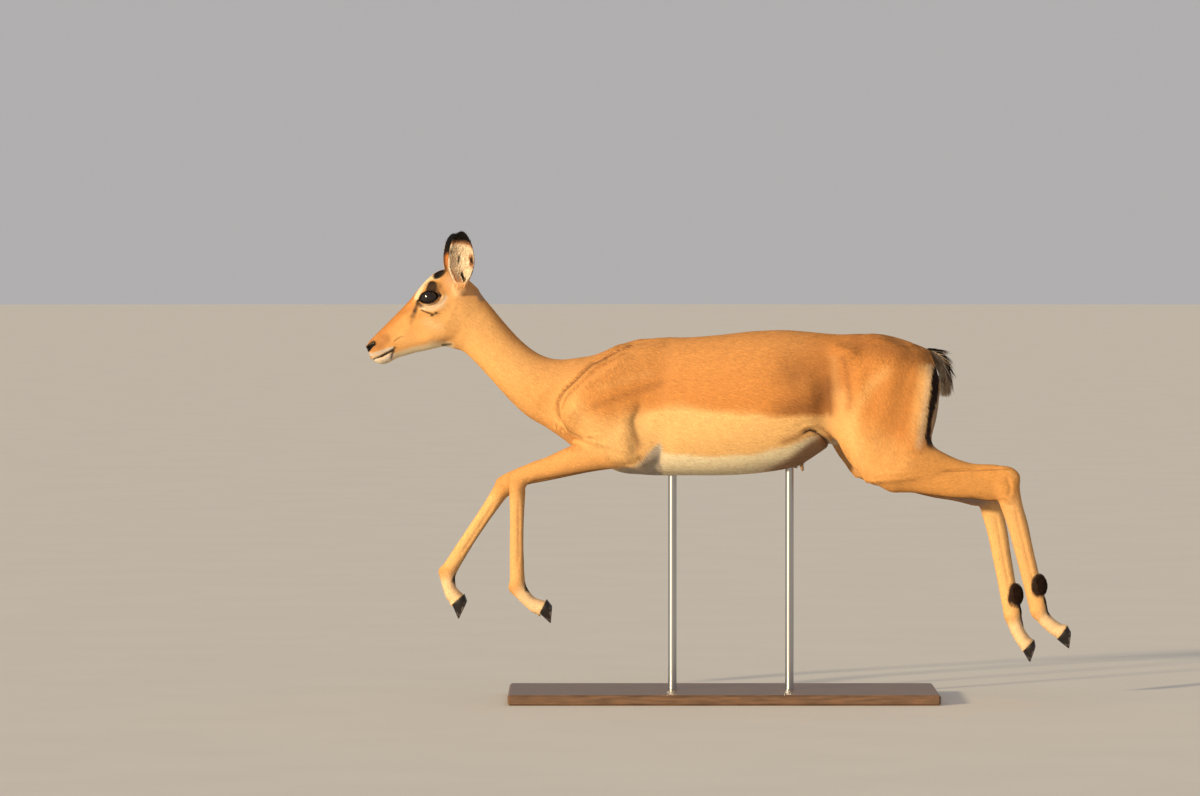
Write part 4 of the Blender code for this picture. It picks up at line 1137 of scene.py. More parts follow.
EAR_STROKES = [
    ([(-518, 930), (-517, 910)], 4.5, 3, "nose", 0.8),
    ([(-517, 925), (-516, 915)], 2.8, 2, "black", 0.9),
    ([(-538, 893), (-532, 880)], 3.2, 1.4, "black", 1.0),
    ([(-543, 928), (-545, 917)], 2.6, 2.2, "black", 0.95),
    ([(-545, 920), (-556, 930), (-561, 946)], 0.8, 1.8, "dark brown", 0.75),
    ([(-545, 917), (-557, 921), (-564, 932)], 0.7, 1.6, "dark brown", 0.6),
    ([(-544, 926), (-548, 942), (-556, 956)], 0.7, 1.8, "dark brown", 0.55),
    ([(-543, 914), (-540, 902), (-543, 894)], 0.8, 1.8, "dark brown", 0.6),
    ([(-542, 914), (-533, 905), (-524, 907)], 0.7, 1.8, "dark brown", 0.5),
    ([(-543, 926), (-538, 940), (-532, 948)], 0.6, 1.8, "dark brown", 0.35),
]
EAR_FOOT = (866, 886)  # the ears are white inside above this height
CROWN = ((-586, 896), 18, 8.5)  # middle, half length and half width of the black patch on the crown
CROWN_WAY = (0.78, 0.62)
FRINGES = {  # reach behind a fetlock, and heights of its black hair's lower and upper edges
    "foreleg": ((13, 18), (-16, -8), (6, 14)),
    "hindleg": ((12, 17), (-22, -12), (20, 30)),
}
HEAD_LOW = 650  # everything in front of the neck above this height is the head


def linear(name):
    """A named colour as light."""
    value = np.array(COLOURS[name]) / 255
    return np.where(value < 0.04045, value / 12.92, ((value + 0.055) / 1.055) ** 2.4)


def noise(points, scale, seed):
    """Smooth noise from -1 to 1 at places in metres, with features about so many millimetres across."""
    maker = np.random.default_rng(seed)
    total = np.zeros(len(points))
    for _ in range(7):
        way = maker.normal(size=3)
        way *= maker.uniform(0.6, 1.5) * 2 * math.pi / (scale * MM * np.linalg.norm(way))
        total += np.sin(points @ way + maker.uniform(0, 2 * math.pi))
    return np.clip(total / 3.2, -1, 1)


class MarkingsAndPaintedLight:
    """The colours of the coat at given places, painted over one another, among them painted shade and
    painted highlights.
    """

    def __init__(self, points, normals, lie):
        self.points, self.normals, self.lie = points, normals, lie
        self.x, self.y, self.z = points.T / MM
        self.wide = np.abs(self.y)
        self.inward = -normals[:, 1] * np.sign(self.y)  # 1 where the surface faces the middle plane
        self.down = -normals[:, 2]
        self.wobble = WOBBLE * noise(points, WOBBLE_LENGTH, 1)
        self.trunk = lie.of("trunk_front", "trunk_rear", "thigh")
        self.colours = np.tile(linear("tan"), (len(points), 1))

    def paint(self, name, mask):
        """Lays a colour over the others, as strongly as the mask says from 0 to 1."""
        self.colours += (linear(name) - self.colours) * np.clip(mask, 0, 1)[:, None]

    def stroke(self, rows, where):
        """Paints a table of strokes."""
        for line, half, edge, name, strength in rows:
            away = np.abs(along_line(line, self.x, self.z)[0]) + 0.12 * self.wobble
            self.paint(name, where * strength * (1 - soft(half - edge / 2, half + edge / 2, away)))

    def paint_trunk(self):
        """Saddle and paler band, the neck, the white belly, and the strokes over them, some of them painted
        shade and painted highlights.
        """
        x, down, trunk, lie = self.x, self.down, self.trunk, self.lie
        above = self.z - np.interp(x, *zip(*SADDLE_LINE)) + self.wobble
        edge = 12 + 24 * (1 - soft(-220, -120, x)) + 34 * soft(225, 290, x)
        saddle = soft(-edge, edge, above)
        self.paint("band", trunk * (1 - saddle) * soft(-330, -200, x) * (1 - soft(215, 260, x)))
        self.paint("saddle", trunk * saddle * soft(-350, -230, x))
        self.paint("back", 0.5 * trunk * soft(0.0, 0.8, -down) * (1 - soft(150, 240, x)))
        self.paint("shank", lie.of_bone("hindleg", 0))
        self.paint_neck()
        self.paint_belly()
        self.stroke(SADDLE_STROKES, trunk * saddle)
        self.stroke(BODY_STROKES, np.maximum(trunk, lie.of("neck")))
        self.stroke(LEG_STROKES, lie.of("hindleg") * soft(-4, 4, -self.y))

    def paint_neck(self):
        neck = self.lie.of("neck") * (1 - soft(-360, -300, self.x))
        ahead = self.normals[:, 0]
        # paler sides and darker top of the neck: partly the coat's own tones, partly painted light on the
        # sides and painted shade on the top
        self.paint("band", 0.45 * neck * soft(0.45, 0.9, np.abs(self.normals[:, 1])))
        self.paint("nape", 0.2 * neck * soft(0.35, 0.95, -self.down + 0.25 * ahead))
        self.paint("throat", 0.6 * neck * soft(0.2, 0.8, self.down - 0.4 * ahead))

    def paint_belly(self):
        """White below the belly's line, with a painted shadow of the elbow behind it and painted shade
        under its rear.
        """
        x, down, trunk = self.x, self.down, self.trunk
        below = np.interp(x, *zip(*BELLY_LINE)) - self.z + 0.4 * self.wobble
        under = np.maximum(1 - soft(196, 222, x), soft(0.3, 0.7, down) * (1 - soft(45, 65, self.wide)))
        belly = self.lie.of("trunk_front", "trunk_rear")
        self.paint("white", soft(-7, 7, below) * belly * soft(-300, -255, x) * under)
        # painted shadow of the foreleg's elbow on the belly
        elbow = soft(-250, -190, x) * (1 - soft(-125, -121, x))
        self.paint("shade", 0.7 * trunk * soft(-3, 3, below) * elbow)
        # painted shade on the underside of the rear of the belly
        turned_under = below - np.interp(x, *BELLY_SHADE)
        rear = soft(20, 120, x) * (1 - soft(226, 240, x))
        self.paint("brown", 0.82 * trunk * soft(-10, 14, turned_under) * rear)

    def paint_inner_legs(self):
        """The inner sides of the thighs and legs, and the cannon bones: the inner thighs and hind shanks
        greyed as painted shade, and the inner cannons paler, partly as painted light.
        """
        x, inward, thigh, bone = self.x, self.inward, self.lie.of("thigh"), self.lie.of_bone
        self.paint("shaded white", 0.7 * thigh * soft(0.45, 0.8, inward))
        front = (1 - soft(560, 600, self.z)) * (1 - soft(330, 360, x))
        # painted shade on the inner front of each thigh
        self.paint("nape", 0.6 * thigh * soft(-0.05, 0.35, inward) * front)
        # painted shadow on the inner side of each hind shank
        self.paint("shade", 0.75 * bone("hindleg", 0) * soft(0.3, 0.75, inward) * soft(330, 430, x))
        self.paint("white", 0.6 * bone("foreleg", 0) * soft(0.45, 0.85, inward) * soft(-330, -260, x))
        cannons = bone("foreleg", 1) + bone("hindleg", 1)
        self.paint("cannon", 0.7 * cannons)
        # inner sides of the cannons paler, partly as painted light
        self.paint("pale inner leg and painted light", 0.8 * cannons * soft(0.0, 0.5, inward))

    def paint_rump(self):
        """The black stripe down the rear of each thigh, between a pale edge and the white hair at the back,
        which is greyed as painted shade beyond the stripe.
        """
        x, z = self.x, self.z
        rear = soft(375, 400, x) * (1 - soft(703, 716, z)) * soft(522, 542, z)
        rear = rear * self.lie.of("thigh", "trunk_rear")
        ragged = 0.3 * self.wobble + 1.2 * noise(self.points, 5, 4)
        beside = np.abs(along_line(PALE_LINE, x, z)[0])
        self.paint("band", 0.85 * rear * soft(530, 590, z) * (1 - soft(4, 36, beside)))
        self.paint("cream", 0.4 * rear * (1 - soft(0, 14, beside)))
        off_stripe = np.abs(along_line(STRIPE_LINE, x, z)[0] + ragged)
        stripe_half = 5.5 + 3.5 * soft(570, 650, z)
        # painted shade: grey-brown over the white hair beyond the stripe
        self.paint("shaded_rump", rear * soft(0, 6, x - np.interp(z, *STRIPE_REAR)))
        between = np.maximum(1 - soft(26, 32, self.wide), soft(-0.05, 0.25, self.inward))
        self.paint("white", rear * between * soft(0.1, 0.5, self.normals[:, 0]))
        stripe = 1 - soft(stripe_half - 1.2, stripe_half + 1.2, off_stripe)
        self.paint("stripe", rear * stripe * (1 - between))

    def paint_feet(self, piece, side, joints):
        """One leg's pale pastern, its black hair, and the dark lines along the edges of its bones, which
        are partly painted shade.
        """
        mine = soft(-4, 4, side * self.y)
        hock, fetlock, foot = (np.array(joint, float) for joint in joints[1:])
        off_fetlock = self.points / MM - fetlock
        down_leg = (foot - fetlock) / np.linalg.norm(foot - fetlock)
        low = mine * (self.lie.of_bone(piece, 2) + self.lie.of_bone(piece, 1) * 0.5)
        self.paint("pastern", 0.85 * low * soft(-6, 22, off_fetlock @ down_leg))
        if piece == "hindleg":
            self.paint_gland(mine, joints, side)
        cannon = fetlock - hock
        cannon /= np.linalg.norm(cannon)
        reach = off_fetlock @ np.array([-cannon[2], 0, cannon[0]])
        height = off_fetlock @ -cannon
        behind, lower, upper = FRINGES[piece]
        fringe = soft(*behind, reach) * soft(*lower, height) * (1 - soft(*upper, height))
        self.paint("black", mine * self.lie.of(piece) * fringe)
        # dark lines along the rear and lower edges of the bones: partly dark hair, partly painted shade
        for bone, turn in ((0, 1 if piece == "foreleg" else -1), (1, 1)):
            start = np.array(joints[bone], float)
            step = np.array(joints[bone + 1], float) - start
            place = (self.points / MM - start) @ step / (step @ step)
            facing = turn * np.array([-step[2], 0, step[0]]) / np.hypot(step[0], step[2])
            line = soft(0.84, 0.99, self.normals @ facing) * soft(0.1, 0.35, place)
            self.paint("dark brown", 0.6 * mine * self.lie.of_bone(piece, bone) * line)

    def paint_gland(self, mine, joints, side):
        centre, along, behind = gland_frame(joints, side)
        away = self.points - np.array(centre)
        u = away @ np.array(along) / MM / GLAND_RADII[0]
        v = away @ np.array(behind) / MM / GLAND_RADII[2]
        off_gland = np.hypot(u, v * (1 - 0.3 * u)) + 0.02 * self.wobble
        self.paint("gland", mine * (1 - soft(0.86, 1.06, off_gland)))

    def paint_head(self):
        """The strokes of the head, the black patches on the crown, and the pale jaw, made whiter on its
        underside as painted light.
        """
        x, z = self.x, self.z
        skull = (1 - soft(-580, -562, x)) * (1 - self.lie.of("ear")) * (z > HEAD_LOW)
        head = np.maximum(self.lie.of("head"), skull) * (1 - soft(-520, -500, x + 0.6 * (z - 800)))
        self.stroke(HEAD_STROKES, head)
        (crown_x, crown_z), long, short = CROWN
        dx, dz = x - crown_x, z - crown_z
        u = (dx * CROWN_WAY[0] + dz * CROWN_WAY[1]) / long
        v = (-dx * CROWN_WAY[1] + dz * CROWN_WAY[0]) / short
        crown = 1 - soft(0.8, 1.2, np.hypot(u, v) + 0.02 * self.wobble)
        self.paint("black", head * crown * soft(2, 6, self.wide))
        # the jaw's underside made whiter as painted light, over its pale hair
        jaw = head * soft(0.5, 0.9, self.down) * (1 - soft(-640, -560, x))
        self.paint("white", 0.8 * jaw)

    def paint_ear(self, side):
        """A reddish ear with a black tip, white inside, with a dark rim."""
        base, tip, along, outward, sideways = ear_frame(side)
        mine = self.lie.of("ear") * (side * self.y > 0)
        away = self.points - base
        place = away @ along / np.linalg.norm(tip - base)
        ahead = side * (away @ sideways) / MM / EAR_HALF_WIDTH
        facing = self.normals @ outward
        inside = soft(-0.05, 0.25, facing)
        self.paint("ear", mine * (1 - inside))
        self.paint("ear inside", mine * inside)
        self.paint("tan", mine * (1 - soft(*EAR_FOOT, self.z)))
        self.stroke(EAR_STROKES, mine * inside)
        past = place - 0.55 - 0.22 * inside + 0.004 * self.wobble  # above 0 in the black tip
        self.paint("ear", 0.7 * mine * soft(-0.06, -0.03, past))
        self.paint("dark brown", 0.7 * mine * soft(-0.03, 0, past))
        self.paint("black", mine * soft(0, 0.05, past))
        rim = 1 - soft(0.15, 0.45, np.abs(facing))
        self.paint("dark brown", 0.8 * mine * rim * soft(-0.4, -0.25, past))
        front_edge = np.maximum(rim * soft(0.3, 0.6, ahead), soft(0.82, 0.96, ahead))
        self.paint("black", 0.85 * mine * front_edge * soft(-0.35, -0.25, past))

    def paint_lids_and_tail(self):
        for side in (NEAR, FAR):
            outside, _, out = eye_opening(self.points.T, side)
            self.paint("lid", (out > 2) * (1 - soft(1.2, 2.8, outside)))
        tail = self.lie.of("tail")
        self.paint("tail", tail * (1 - soft(700, 722, self.z)))
        self.paint("black", tail * soft(0.5, 0.8, self.normals[:, 0]))


def markings_and_painted_light(points, normals, lie):
    """The colour of the coat at each place, with painted shade and painted highlights laid in."""
    made = MarkingsAndPaintedLight(points, normals, lie)
    made.paint_trunk()
    made.paint_inner_legs()
    made.paint_rump()
    for leg, side, joints in LEGS:
        made.paint_feet(leg.split("_")[0], side, joints)
    made.paint_head()
    for side in (NEAR, FAR):
        made.paint_ear(side)
    made.paint_lids_and_tail()
    return made.colours


# ---------------------------------------------------------------- the coat

class Coat:
    """Gathers tufts and locks piece by piece, and makes an object of each piece."""

    def __init__(self):
        self.pieces = {}

    def add(self, piece, points, normals, faces, colours, places, spread):
        """Adds n tufts alike, of k points each: points, normals and colours are (n, k, 3).

        The faces are those of one tuft, places are the roots on the map, (n, 2), and spread is (k, 2).
        """
        batch = (points, normals, colours, np.array(faces), places, np.array(spread))
        self.pieces.setdefault(piece, []).append(batch)

    def build(self, material):
        made = []
        for name, batches in sorted(self.pieces.items()):
            rows, faces, places, start = [[], [], []], [], [], 0
            for *arrays, shape, roots, spread in batches:
                count, size = arrays[0].shape[:2]
                for kept, array in zip(rows, arrays):
                    kept.append(array.reshape(-1, 3))
                faces.append((shape[None] + start + np.arange(count)[:, None, None] * size).reshape(-1, 3))
                places.append((roots[:, None] + spread[None] * PATCH).reshape(-1, 2))
                start += count * size
            points, normals, colours = (np.concatenate(kept) for kept in rows)
            faces = np.concatenate(faces)
            found = new_object("coat_" + name, points, faces)
            give_colours(found, colours)
            layer = found.data.uv_layers.new(name="OFBake")
            layer.data.foreach_set("uv", np.concatenate(places)[faces.ravel()].astype(np.float32).ravel())
            found.data.shade_smooth()
            found.data.normals_split_custom_set_from_vertices(normals)
            found.data.materials.append(material)
            made.append(found)
        return made


def give_colours(found, colours):
    """Stores a colour at each point of a mesh, for its material."""
    layer = found.data.color_attributes.new("tone", "FLOAT_COLOR", "POINT")
    values = np.ones((len(colours), 4), np.float32)
    values[:, :3] = colours
    layer.data.foreach_set("color", values.ravel())


def arrays_of(mesh):
    """Points, triangles and point normals of a triangle mesh."""
    points = np.empty((len(mesh.vertices), 3), np.float32)
    normals = np.empty((len(mesh.vertices), 3), np.float32)
    triangles = np.empty((len(mesh.polygons), 3), np.int32)
    mesh.vertices.foreach_get("co", points.ravel())
    mesh.vertices.foreach_get("normal", normals.ravel())
    mesh.loops.foreach_get("vertex_index", triangles.ravel())
    return points.astype(float), triangles, normals.astype(float)


def unit(rows):
    return rows / np.maximum(np.linalg.norm(rows, axis=-1, keepdims=True), 1e-9)


def spread_roots(points, triangles, normals, density):
    """Roots spread over triangles, with so many in a square metre at each triangle: places and normals."""
    corners = points[triangles]
    first, second = corners[:, 1] - corners[:, 0], corners[:, 2] - corners[:, 0]
    areas = np.linalg.norm(np.cross(first, second), axis=1) / 2
    order = np.lexsort((np.round(corners[:, 0, 2], 2), np.round(corners[:, 0, 0], 2)))
    total = np.cumsum((areas * density)[order])
    picks = np.arange(int(total[-1])) + rng.random(int(total[-1]))
    chosen = order[np.minimum(np.searchsorted(total, picks), len(order) - 1)]
    a, b = rng.random(len(chosen)), rng.random(len(chosen))
    a, b = np.where(a + b > 1, 1 - a, a), np.where(a + b > 1, 1 - b, b)
    weights = np.stack([1 - a - b, a, b], 1)[:, :, None]
    return (corners[chosen] * weights).sum(1), unit((normals[triangles[chosen]] * weights).sum(1))


def tangent(ways, normals):
    """Ways laid flat on the surface."""
    return unit(ways - normals * (ways * normals).sum(1)[:, None])


def turned(ways, normals, angles):
    """Ways turned in the surface."""
    return ways * np.cos(angles)[:, None] + np.cross(normals, ways) * np.sin(angles)[:, None]


def bare(points):
    """True where no hair grows: inside the lids and nostrils."""
    x, y, z = points.T / MM
    (nostril_x, nostril_z), (long, high), least = NOSTRIL
    off_nostril = np.hypot((x - nostril_x) / long, (z - nostril_z) / high)
    found = off_nostril + np.maximum(0, least - np.abs(y)) < 0.8
    for side in (NEAR, FAR):
        outside, _, out = eye_opening(points.T, side)
        found |= (out > 2) & (outside < 1.6)
    return found


def tuft_roots(skin):
    """Places and normals for the tufts, as dense as each piece of the coat needs, with their lie."""
    points, triangles, normals = arrays_of(skin.data)
    centres = points[triangles].mean(1)
    lie = Lie(centres)
    kinds = lie.pieces[lie.nearest]
    density = np.zeros(len(centres))
    for name, (length, width, _, layers) in KINDS.items():
        density[kinds == name] = layers / (length * width / 2 * MM * MM)
    roots, normals = spread_roots(points, triangles, normals, density)
    kept = ~bare(roots)
    return roots[kept], normals[kept], Lie(roots[kept])


def tuft_sizes(roots, kinds):
    """Length, width and height of each tuft, shorter on the teat."""
    sizes = np.zeros((len(roots), 3))
    for name, size in KINDS.items():
        sizes[kinds == name] = size[:3]
    unsided = np.abs(roots / MM * (0, 1, 0)) + roots / MM * (1, 0, 1)
    from_teat = np.linalg.norm(unsided - TEAT[3:], axis=1)
    scale = rng.uniform(0.75, 1.2, (len(roots), 1)) * (0.4 + 0.6 * soft(*TEAT_BARE, from_teat))[:, None]
    return (sizes * (MM * scale)).T[:, :, None]


def add_tufts(coat, skin):
    """Short fur all over: each tuft is a flat pointed lock of four triangles."""
    roots, normals, lie = tuft_roots(skin)
    kinds = lie.pieces[lie.nearest]
    colours = markings_and_painted_light(roots, normals, lie)
    count = len(roots)
    length, width, height = tuft_sizes(roots, kinds)
    angles = SWIRL * noise(roots, 45, 2) + SWIRL * rng.normal(size=count)
    ways = turned(tangent(lie.way, normals), normals, angles)
    across = np.cross(normals, ways)
    corners = [
        roots - across * width / 2 - normals * SINK,
        roots + across * width / 2 - normals * SINK,
        roots + ways * length * 0.3 + normals * height,
        roots + ways * length + normals * LIFT,
    ]
    shape = np.stack(corners, axis=1)
    lean = 0.3 * across
    shading = unit(np.stack([normals - lean, normals + lean, normals, normals + 0.2 * ways], axis=1))
    flecks = np.where(kinds == "head", 0.08, 0.14)[:, None]
    tone = 1 + flecks * rng.normal(size=(count, 1)) + 0.04 * noise(roots, 25, 3)[:, None]
    shade = np.array([0.86, 0.86, 1.0, 1.1])
    tones = np.clip(colours[:, None] * (tone * shade)[:, :, None], 0, 1)
    places = lie.unwrap(roots)
    names = kinds.astype("U24")
    for kind in SIDED:
        for side, word in SIDE_WORDS.items():
            names[(kinds == kind) & (side * roots[:, 1] >= 0)] = f"{kind}_{word}"
    faces = ((0, 2, 1), (0, 3, 2), (1, 2, 3), (0, 1, 3))
    spread = ((0, 0), (1, 0), (0.5, 0.3), (0.5, 1))
    for name in np.unique(names):
        mine = names == name
        coat.add(name, shape[mine], shading[mine], faces, tones[mine], places[mine], spread)


def add_locks(coat, piece, roots, ways, bends, length, width, colours, steps=4, lie=None):
    """Longer hair: three-sided locks that start one way and bend another, tapering to a point."""
    count = len(roots)
    length, width = (np.broadcast_to(size, count)[:, None] * MM for size in (length, width))
    across = unit(np.cross(ways, bends) + 1e-4 * rng.normal(size=(count, 3)))
    rings, shading, spread = [], [], []
    for step in range(steps):
        t = step / steps
        middle = roots + length * (ways * (t - t * t / 2) + bends * (t * t / 2))
        heading = unit(ways * (1 - t) + bends * t)
        over = unit(np.cross(heading, across))
        reach = width / 2 * (1 - t) ** 0.6 * (0.75 if step == 0 else 1)
        for turn in LOCK_CORNERS:
            out = across * math.cos(turn) + over * 0.7 * math.sin(turn)
            rings.append(middle + reach * out)
            shading.append(unit(out))
            spread.append((0.2 + 0.3 * turn / LOCK_CORNERS[1], t))
    rings.append(roots + length * (ways + bends) / 2)
    shading.append(bends)
    spread.append((0.5, 1))
    faces = [(0, 2, 1)]
    for step in range(steps - 1):
        for j in range(3):
            a, b = step * 3 + j, step * 3 + (j + 1) % 3
            faces += [(a, b, b + 3), (a, b + 3, a + 3)]
    last = (steps - 1) * 3
    faces += [(last + j, last + (j + 1) % 3, last + 3) for j in range(3)]
    shape, shading = np.stack(rings, axis=1), np.stack(shading, axis=1)
    lie = lie or Lie(roots)
    shade = np.append(np.repeat(np.linspace(0.85, 1.05, steps), 3), 1.1)
    tones = colours[:, None] * shade[None, :, None] * (1 + 0.08 * rng.normal(size=(count, 1, 1)))
    tones = np.clip(tones, 0, 1)
    coat.add(piece, shape, shading, faces, tones, lie.unwrap(roots), spread)


def along_path(rows, places):
    """Values between the rows of a table, at places from 0 to 1 along it."""
    rows = np.array(rows, float)
    at = np.linspace(0, 1, len(rows))
    return np.stack([np.interp(places, at, column) for column in rows.T], axis=1)


def add_tail(coat):
    """The tail's long hair: dark along its rear edge, white at its sides."""
    count = TAIL_LOCKS
    place = rng.random(count) * 0.93
    x1, z1, x2, z2, half = along_path(smooth_rows(TAIL, 4), place).T
    turn = rng.uniform(0, 2 * math.pi, count)
    reach = 0.92 * np.sqrt(rng.random(count))
    level = 0.5 + 0.5 * reach * np.cos(turn)
    roots = np.stack([x2 + (x1 - x2) * level, half * reach * np.sin(turn), z2 + (z1 - z2) * level], 1) * MM
    steps = np.linspace(0, 1, 50)
    slopes = np.gradient(along_path(TAIL, steps), axis=0).T
    way_x = np.interp(place, steps, slopes[0] + slopes[2])
    way_z = np.interp(place, steps, slopes[1] + slopes[3])
    down = unit(np.stack([way_x, np.zeros(count), way_z], 1))
    out = np.stack([-np.cos(turn) * 0.22 * reach, np.sin(turn) * 0.22 * reach, np.zeros(count)], 1)
    ways = unit(down + out + 0.05 * rng.normal(size=(count, 3)))
    bends = unit(down + 0.06 * rng.normal(size=(count, 3)) + (0, 0, -0.1))
    ends = np.clip((1 - place) * 90, 11, 32) * rng.uniform(0.4, 1.5, count)
    white, black, tan = linear("tail white"), linear("black"), linear("saddle")
    colours = np.tile(linear("tail"), (count, 1))
    ahead_share = level + 0.04 * rng.normal(size=count)
    fringe = np.maximum(soft(0.66, 0.82, ahead_share), 0.4 * soft(0.7, 0.9, place)) * soft(0.3, 0.4, place)
    fringe = np.maximum(fringe, 0.6 * (rng.random(count) < 0.25))
    colours += (white - colours) * fringe[:, None]
    colours += (tan - colours) * (1 - soft(0.02, 0.1, place))[:, None]
    at_rear = (1 - soft(0.2, 0.36, ahead_share)) * (1 - soft(0.55, 0.75, place))
    colours += (black - colours) * at_rear[:, None]
    add_locks(coat, "tail", roots, ways, bends, ends, 1.9, colours, steps=5)


def add_gland(coat, joints, side, along, behind):
    """The black tuft of a scent gland, on a ball behind the cannon bone."""
    count = GLAND_LOCKS
    turn = np.array([along, (0, 1, 0), behind])
    ball = unit(rng.normal(size=(count, 3)))
    ball[:, 2] = np.abs(ball[:, 2] + 0.3) - 0.3
    radii = np.array(GLAND_RADII, float) - GLAND_COAT
    roots = np.array(gland_frame(joints, side)[0]) / MM + (ball * radii) @ turn
    normals = unit((ball / radii) @ turn)
    flat = tangent(np.tile(along, (count, 1)), normals)
    ways, bends = unit(flat + normals * 0.25), unit(flat - normals * 0.12)
    colours = np.tile(linear("gland"), (count, 1))
    add_locks(coat, "glands", roots * MM, ways, bends, rng.uniform(8, 12, count), 1.3, colours)


def add_fringes(coat):
    """Black hair of the scent glands and behind the fetlocks."""
    for leg, side, joints in LEGS:
        piece = leg.split("_")[0]
        knee, fetlock, _ = (on_side(joint, side).astype(float) for joint in joints[1:])
        along = unit(fetlock - knee)
        behind = np.array([-along[2], 0, along[0]])
        if piece == "hindleg":
            add_gland(coat, joints, side, along, behind)
        count, low, high, reach, spread = FETLOCK_LOCKS[piece]
        place = rng.uniform(low, high, count)
        turn = rng.uniform(-spread, spread, count)
        out = behind * np.cos(turn)[:, None] + np.outer(np.sin(turn), (0, 1, 0))
        roots = fetlock + along * place[:, None] + out * reach
        ways = unit(along + out * 0.45 + 0.05 * rng.normal(size=(count, 3)))
        bends = unit(along + out * 0.05 + 0.05 * rng.normal(size=(count, 3)))
        colours = np.tile(linear("black"), (count, 1))
        add_locks(coat, leg, roots * MM, ways, bends, rng.uniform(4, 6.5, count), 1.0, colours)


def add_ear_hair(coat, skin):
    """Longer pale hair inside the ears, lying towards the tip."""
    points, triangles, normals = arrays_of(skin.data)
    centres = points[triangles].mean(1)
    lie = Lie(centres)
    ears = lie.pieces[lie.nearest] == "ear"
    for side, word in SIDE_WORDS.items():
        _, _, along, outward, sideways = ear_frame(side)
        hollow = normals[triangles].mean(1) @ outward > 0.25
        mine = ears & (centres[:, 1] * side > 0) & hollow
        roots, ups = spread_roots(points, triangles[mine], normals, EAR_LOCKS)
        lean = (roots - on_side(EAR_BASE, side) * MM) @ sideways
        ways = tangent(along - sideways * (np.sign(lean) * 0.35)[:, None], ups)
        ways = unit(ways + ups * 0.22 + 0.08 * rng.normal(size=ways.shape))
        bends = unit(along - ups * 0.06 + 0.08 * rng.normal(size=ways.shape))
        found = Lie(roots)
        shorter = 1 - 0.5 * soft(950, 975, roots[:, 2] / MM)
        lengths = rng.uniform(9, 15, len(roots)) * shorter
        colours = markings_and_painted_light(roots, ups, found)
        add_locks(coat, "ear_" + word, roots, ways, bends, lengths, 1.0, colours, lie=found)


def add_lashes(coat):
    """Dark lashes on the upper lids."""
    for side in (NEAR, FAR):
        centre, back, up, out = eye_axes(side)
        share = np.linspace(-0.85, 0.9, LASHES) + 0.01 * rng.normal(size=LASHES)
        long, high = EYE_HALF
        u, v = share * long, high * (1 - share**2) + 0.4
        w = np.sqrt(np.maximum((LID_RADIUS - 1.2) ** 2 - u**2 - v**2, 0))
        roots = centre + (u[:, None] * back + v[:, None] * up + w[:, None] * out) * MM
        ways = unit(out + up * 0.35 + back * (0.5 * share + 0.1)[:, None])
        bends = unit(out * 0.55 - up * 0.25 + back * (0.8 * share + 0.25)[:, None])
        size = 9 * (1 - 0.5 * np.abs(share)) * rng.uniform(0.8, 1.1, LASHES)
        colours = np.tile(linear("black"), (LASHES, 1))
        add_locks(coat, "head", roots, ways, bends, size, 0.7, colours, steps=3)


# ---------------------------------------------------------------- hooves, eyes and materials

HORN = (0.016, 0.013, 0.012)  # as light


def coronet_plane(foot):
    """A point of the plane between a pastern and its hoof, and the plane's way down, in metres."""
    (x1, z1), (x2, z2) = FEET[foot][:2]
    return np.array([x1, 0, z1]) * MM, unit(np.array([z2 - z1, 0, x1 - x2], float))


def claw(name, foot, joints, side, place):
    """One claw of a hoof: a wedge from the coronet to the sole, with faint growth rings."""
    front, rear, toe, heel = (np.array(p, float) for p in FEET[foot])
    down = coronet_plane(foot)[1][[0, 2]]
    front, rear = front + down * 0.4, rear + down * 0.4
    middle = side * joints[3][1] + place * CLAW_SPREAD
    turns = np.linspace(0, 2 * math.pi, CLAW_POINTS, endpoint=False)
    rings, tones = [], []
    for share in np.linspace(0, 1, CLAW_RINGS):
        first, second = front + (toe - front) * share, rear + (heel - rear) * share
        ridge = 0.12 * math.sin(34 * share + 1.5 * math.sin(7 * share)) * (1 - share)
        eased = -1.6 * soft(0.93, 1.0, share) - 0.8 * (1 - soft(0, 0.06, share))
        half = CLAW_HALF * (1 + 0.10 * math.sin(math.pi * share)) * (1 - 0.12 * share) + ridge + eased
        grow = unit(first - second) * (ridge + eased)
        widest, power = 0.42 - 0.12 * share, 2 - 0.6 * share
        rings.append(oval(first + grow, second - grow, middle, half, widest, power, CLAW_POINTS))
        waves = np.sin(9 * turns + 4 * np.sin(3 * turns) + 5 * share)
        streaks = soft(0.75, 1, waves) * soft(0.3, 0.6, share)
        tones.append(0.8 + 0.4 * math.sin(21 * share + 2 * math.sin(11 * share)) ** 2 + 7 * streaks)
    points, triangles = skin_of(rings)
    found = new_object(name, points, triangles)
    found.data.shade_smooth()
    tones = np.concatenate([*tones, [1, 1]])[:, None]
    give_colours(found, np.clip(np.array(HORN) * tones, 0, 1))
    return found


def eyeball(name, side):
    centre, back, up, out = eye_axes(side)
    bpy.ops.mesh.primitive_uv_sphere_add(segments=72, ring_count=48, radius=EYEBALL_RADIUS * MM)
    found = bpy.context.object
    found.name = name
    found.data.shade_smooth()
    turn = Matrix(np.stack([back, up if side == NEAR else -up, out], 1).tolist()).to_4x4()
    found.data.transform(Matrix.Translation(centre) @ turn)
    return found


def new_material(name, roughness, metallic=0.0, **values):
    """A material, its shader and its node tree."""
    found = bpy.data.materials.new(name)
    found.use_nodes = True
    shader = found.node_tree.nodes["Principled BSDF"]
    shader.inputs["Roughness"].default_value = roughness
    shader.inputs["Metallic"].default_value = metallic
    for key, value in values.items():
        shader.inputs[key.replace("_", " ")].default_value = value
    return found, shader, found.node_tree


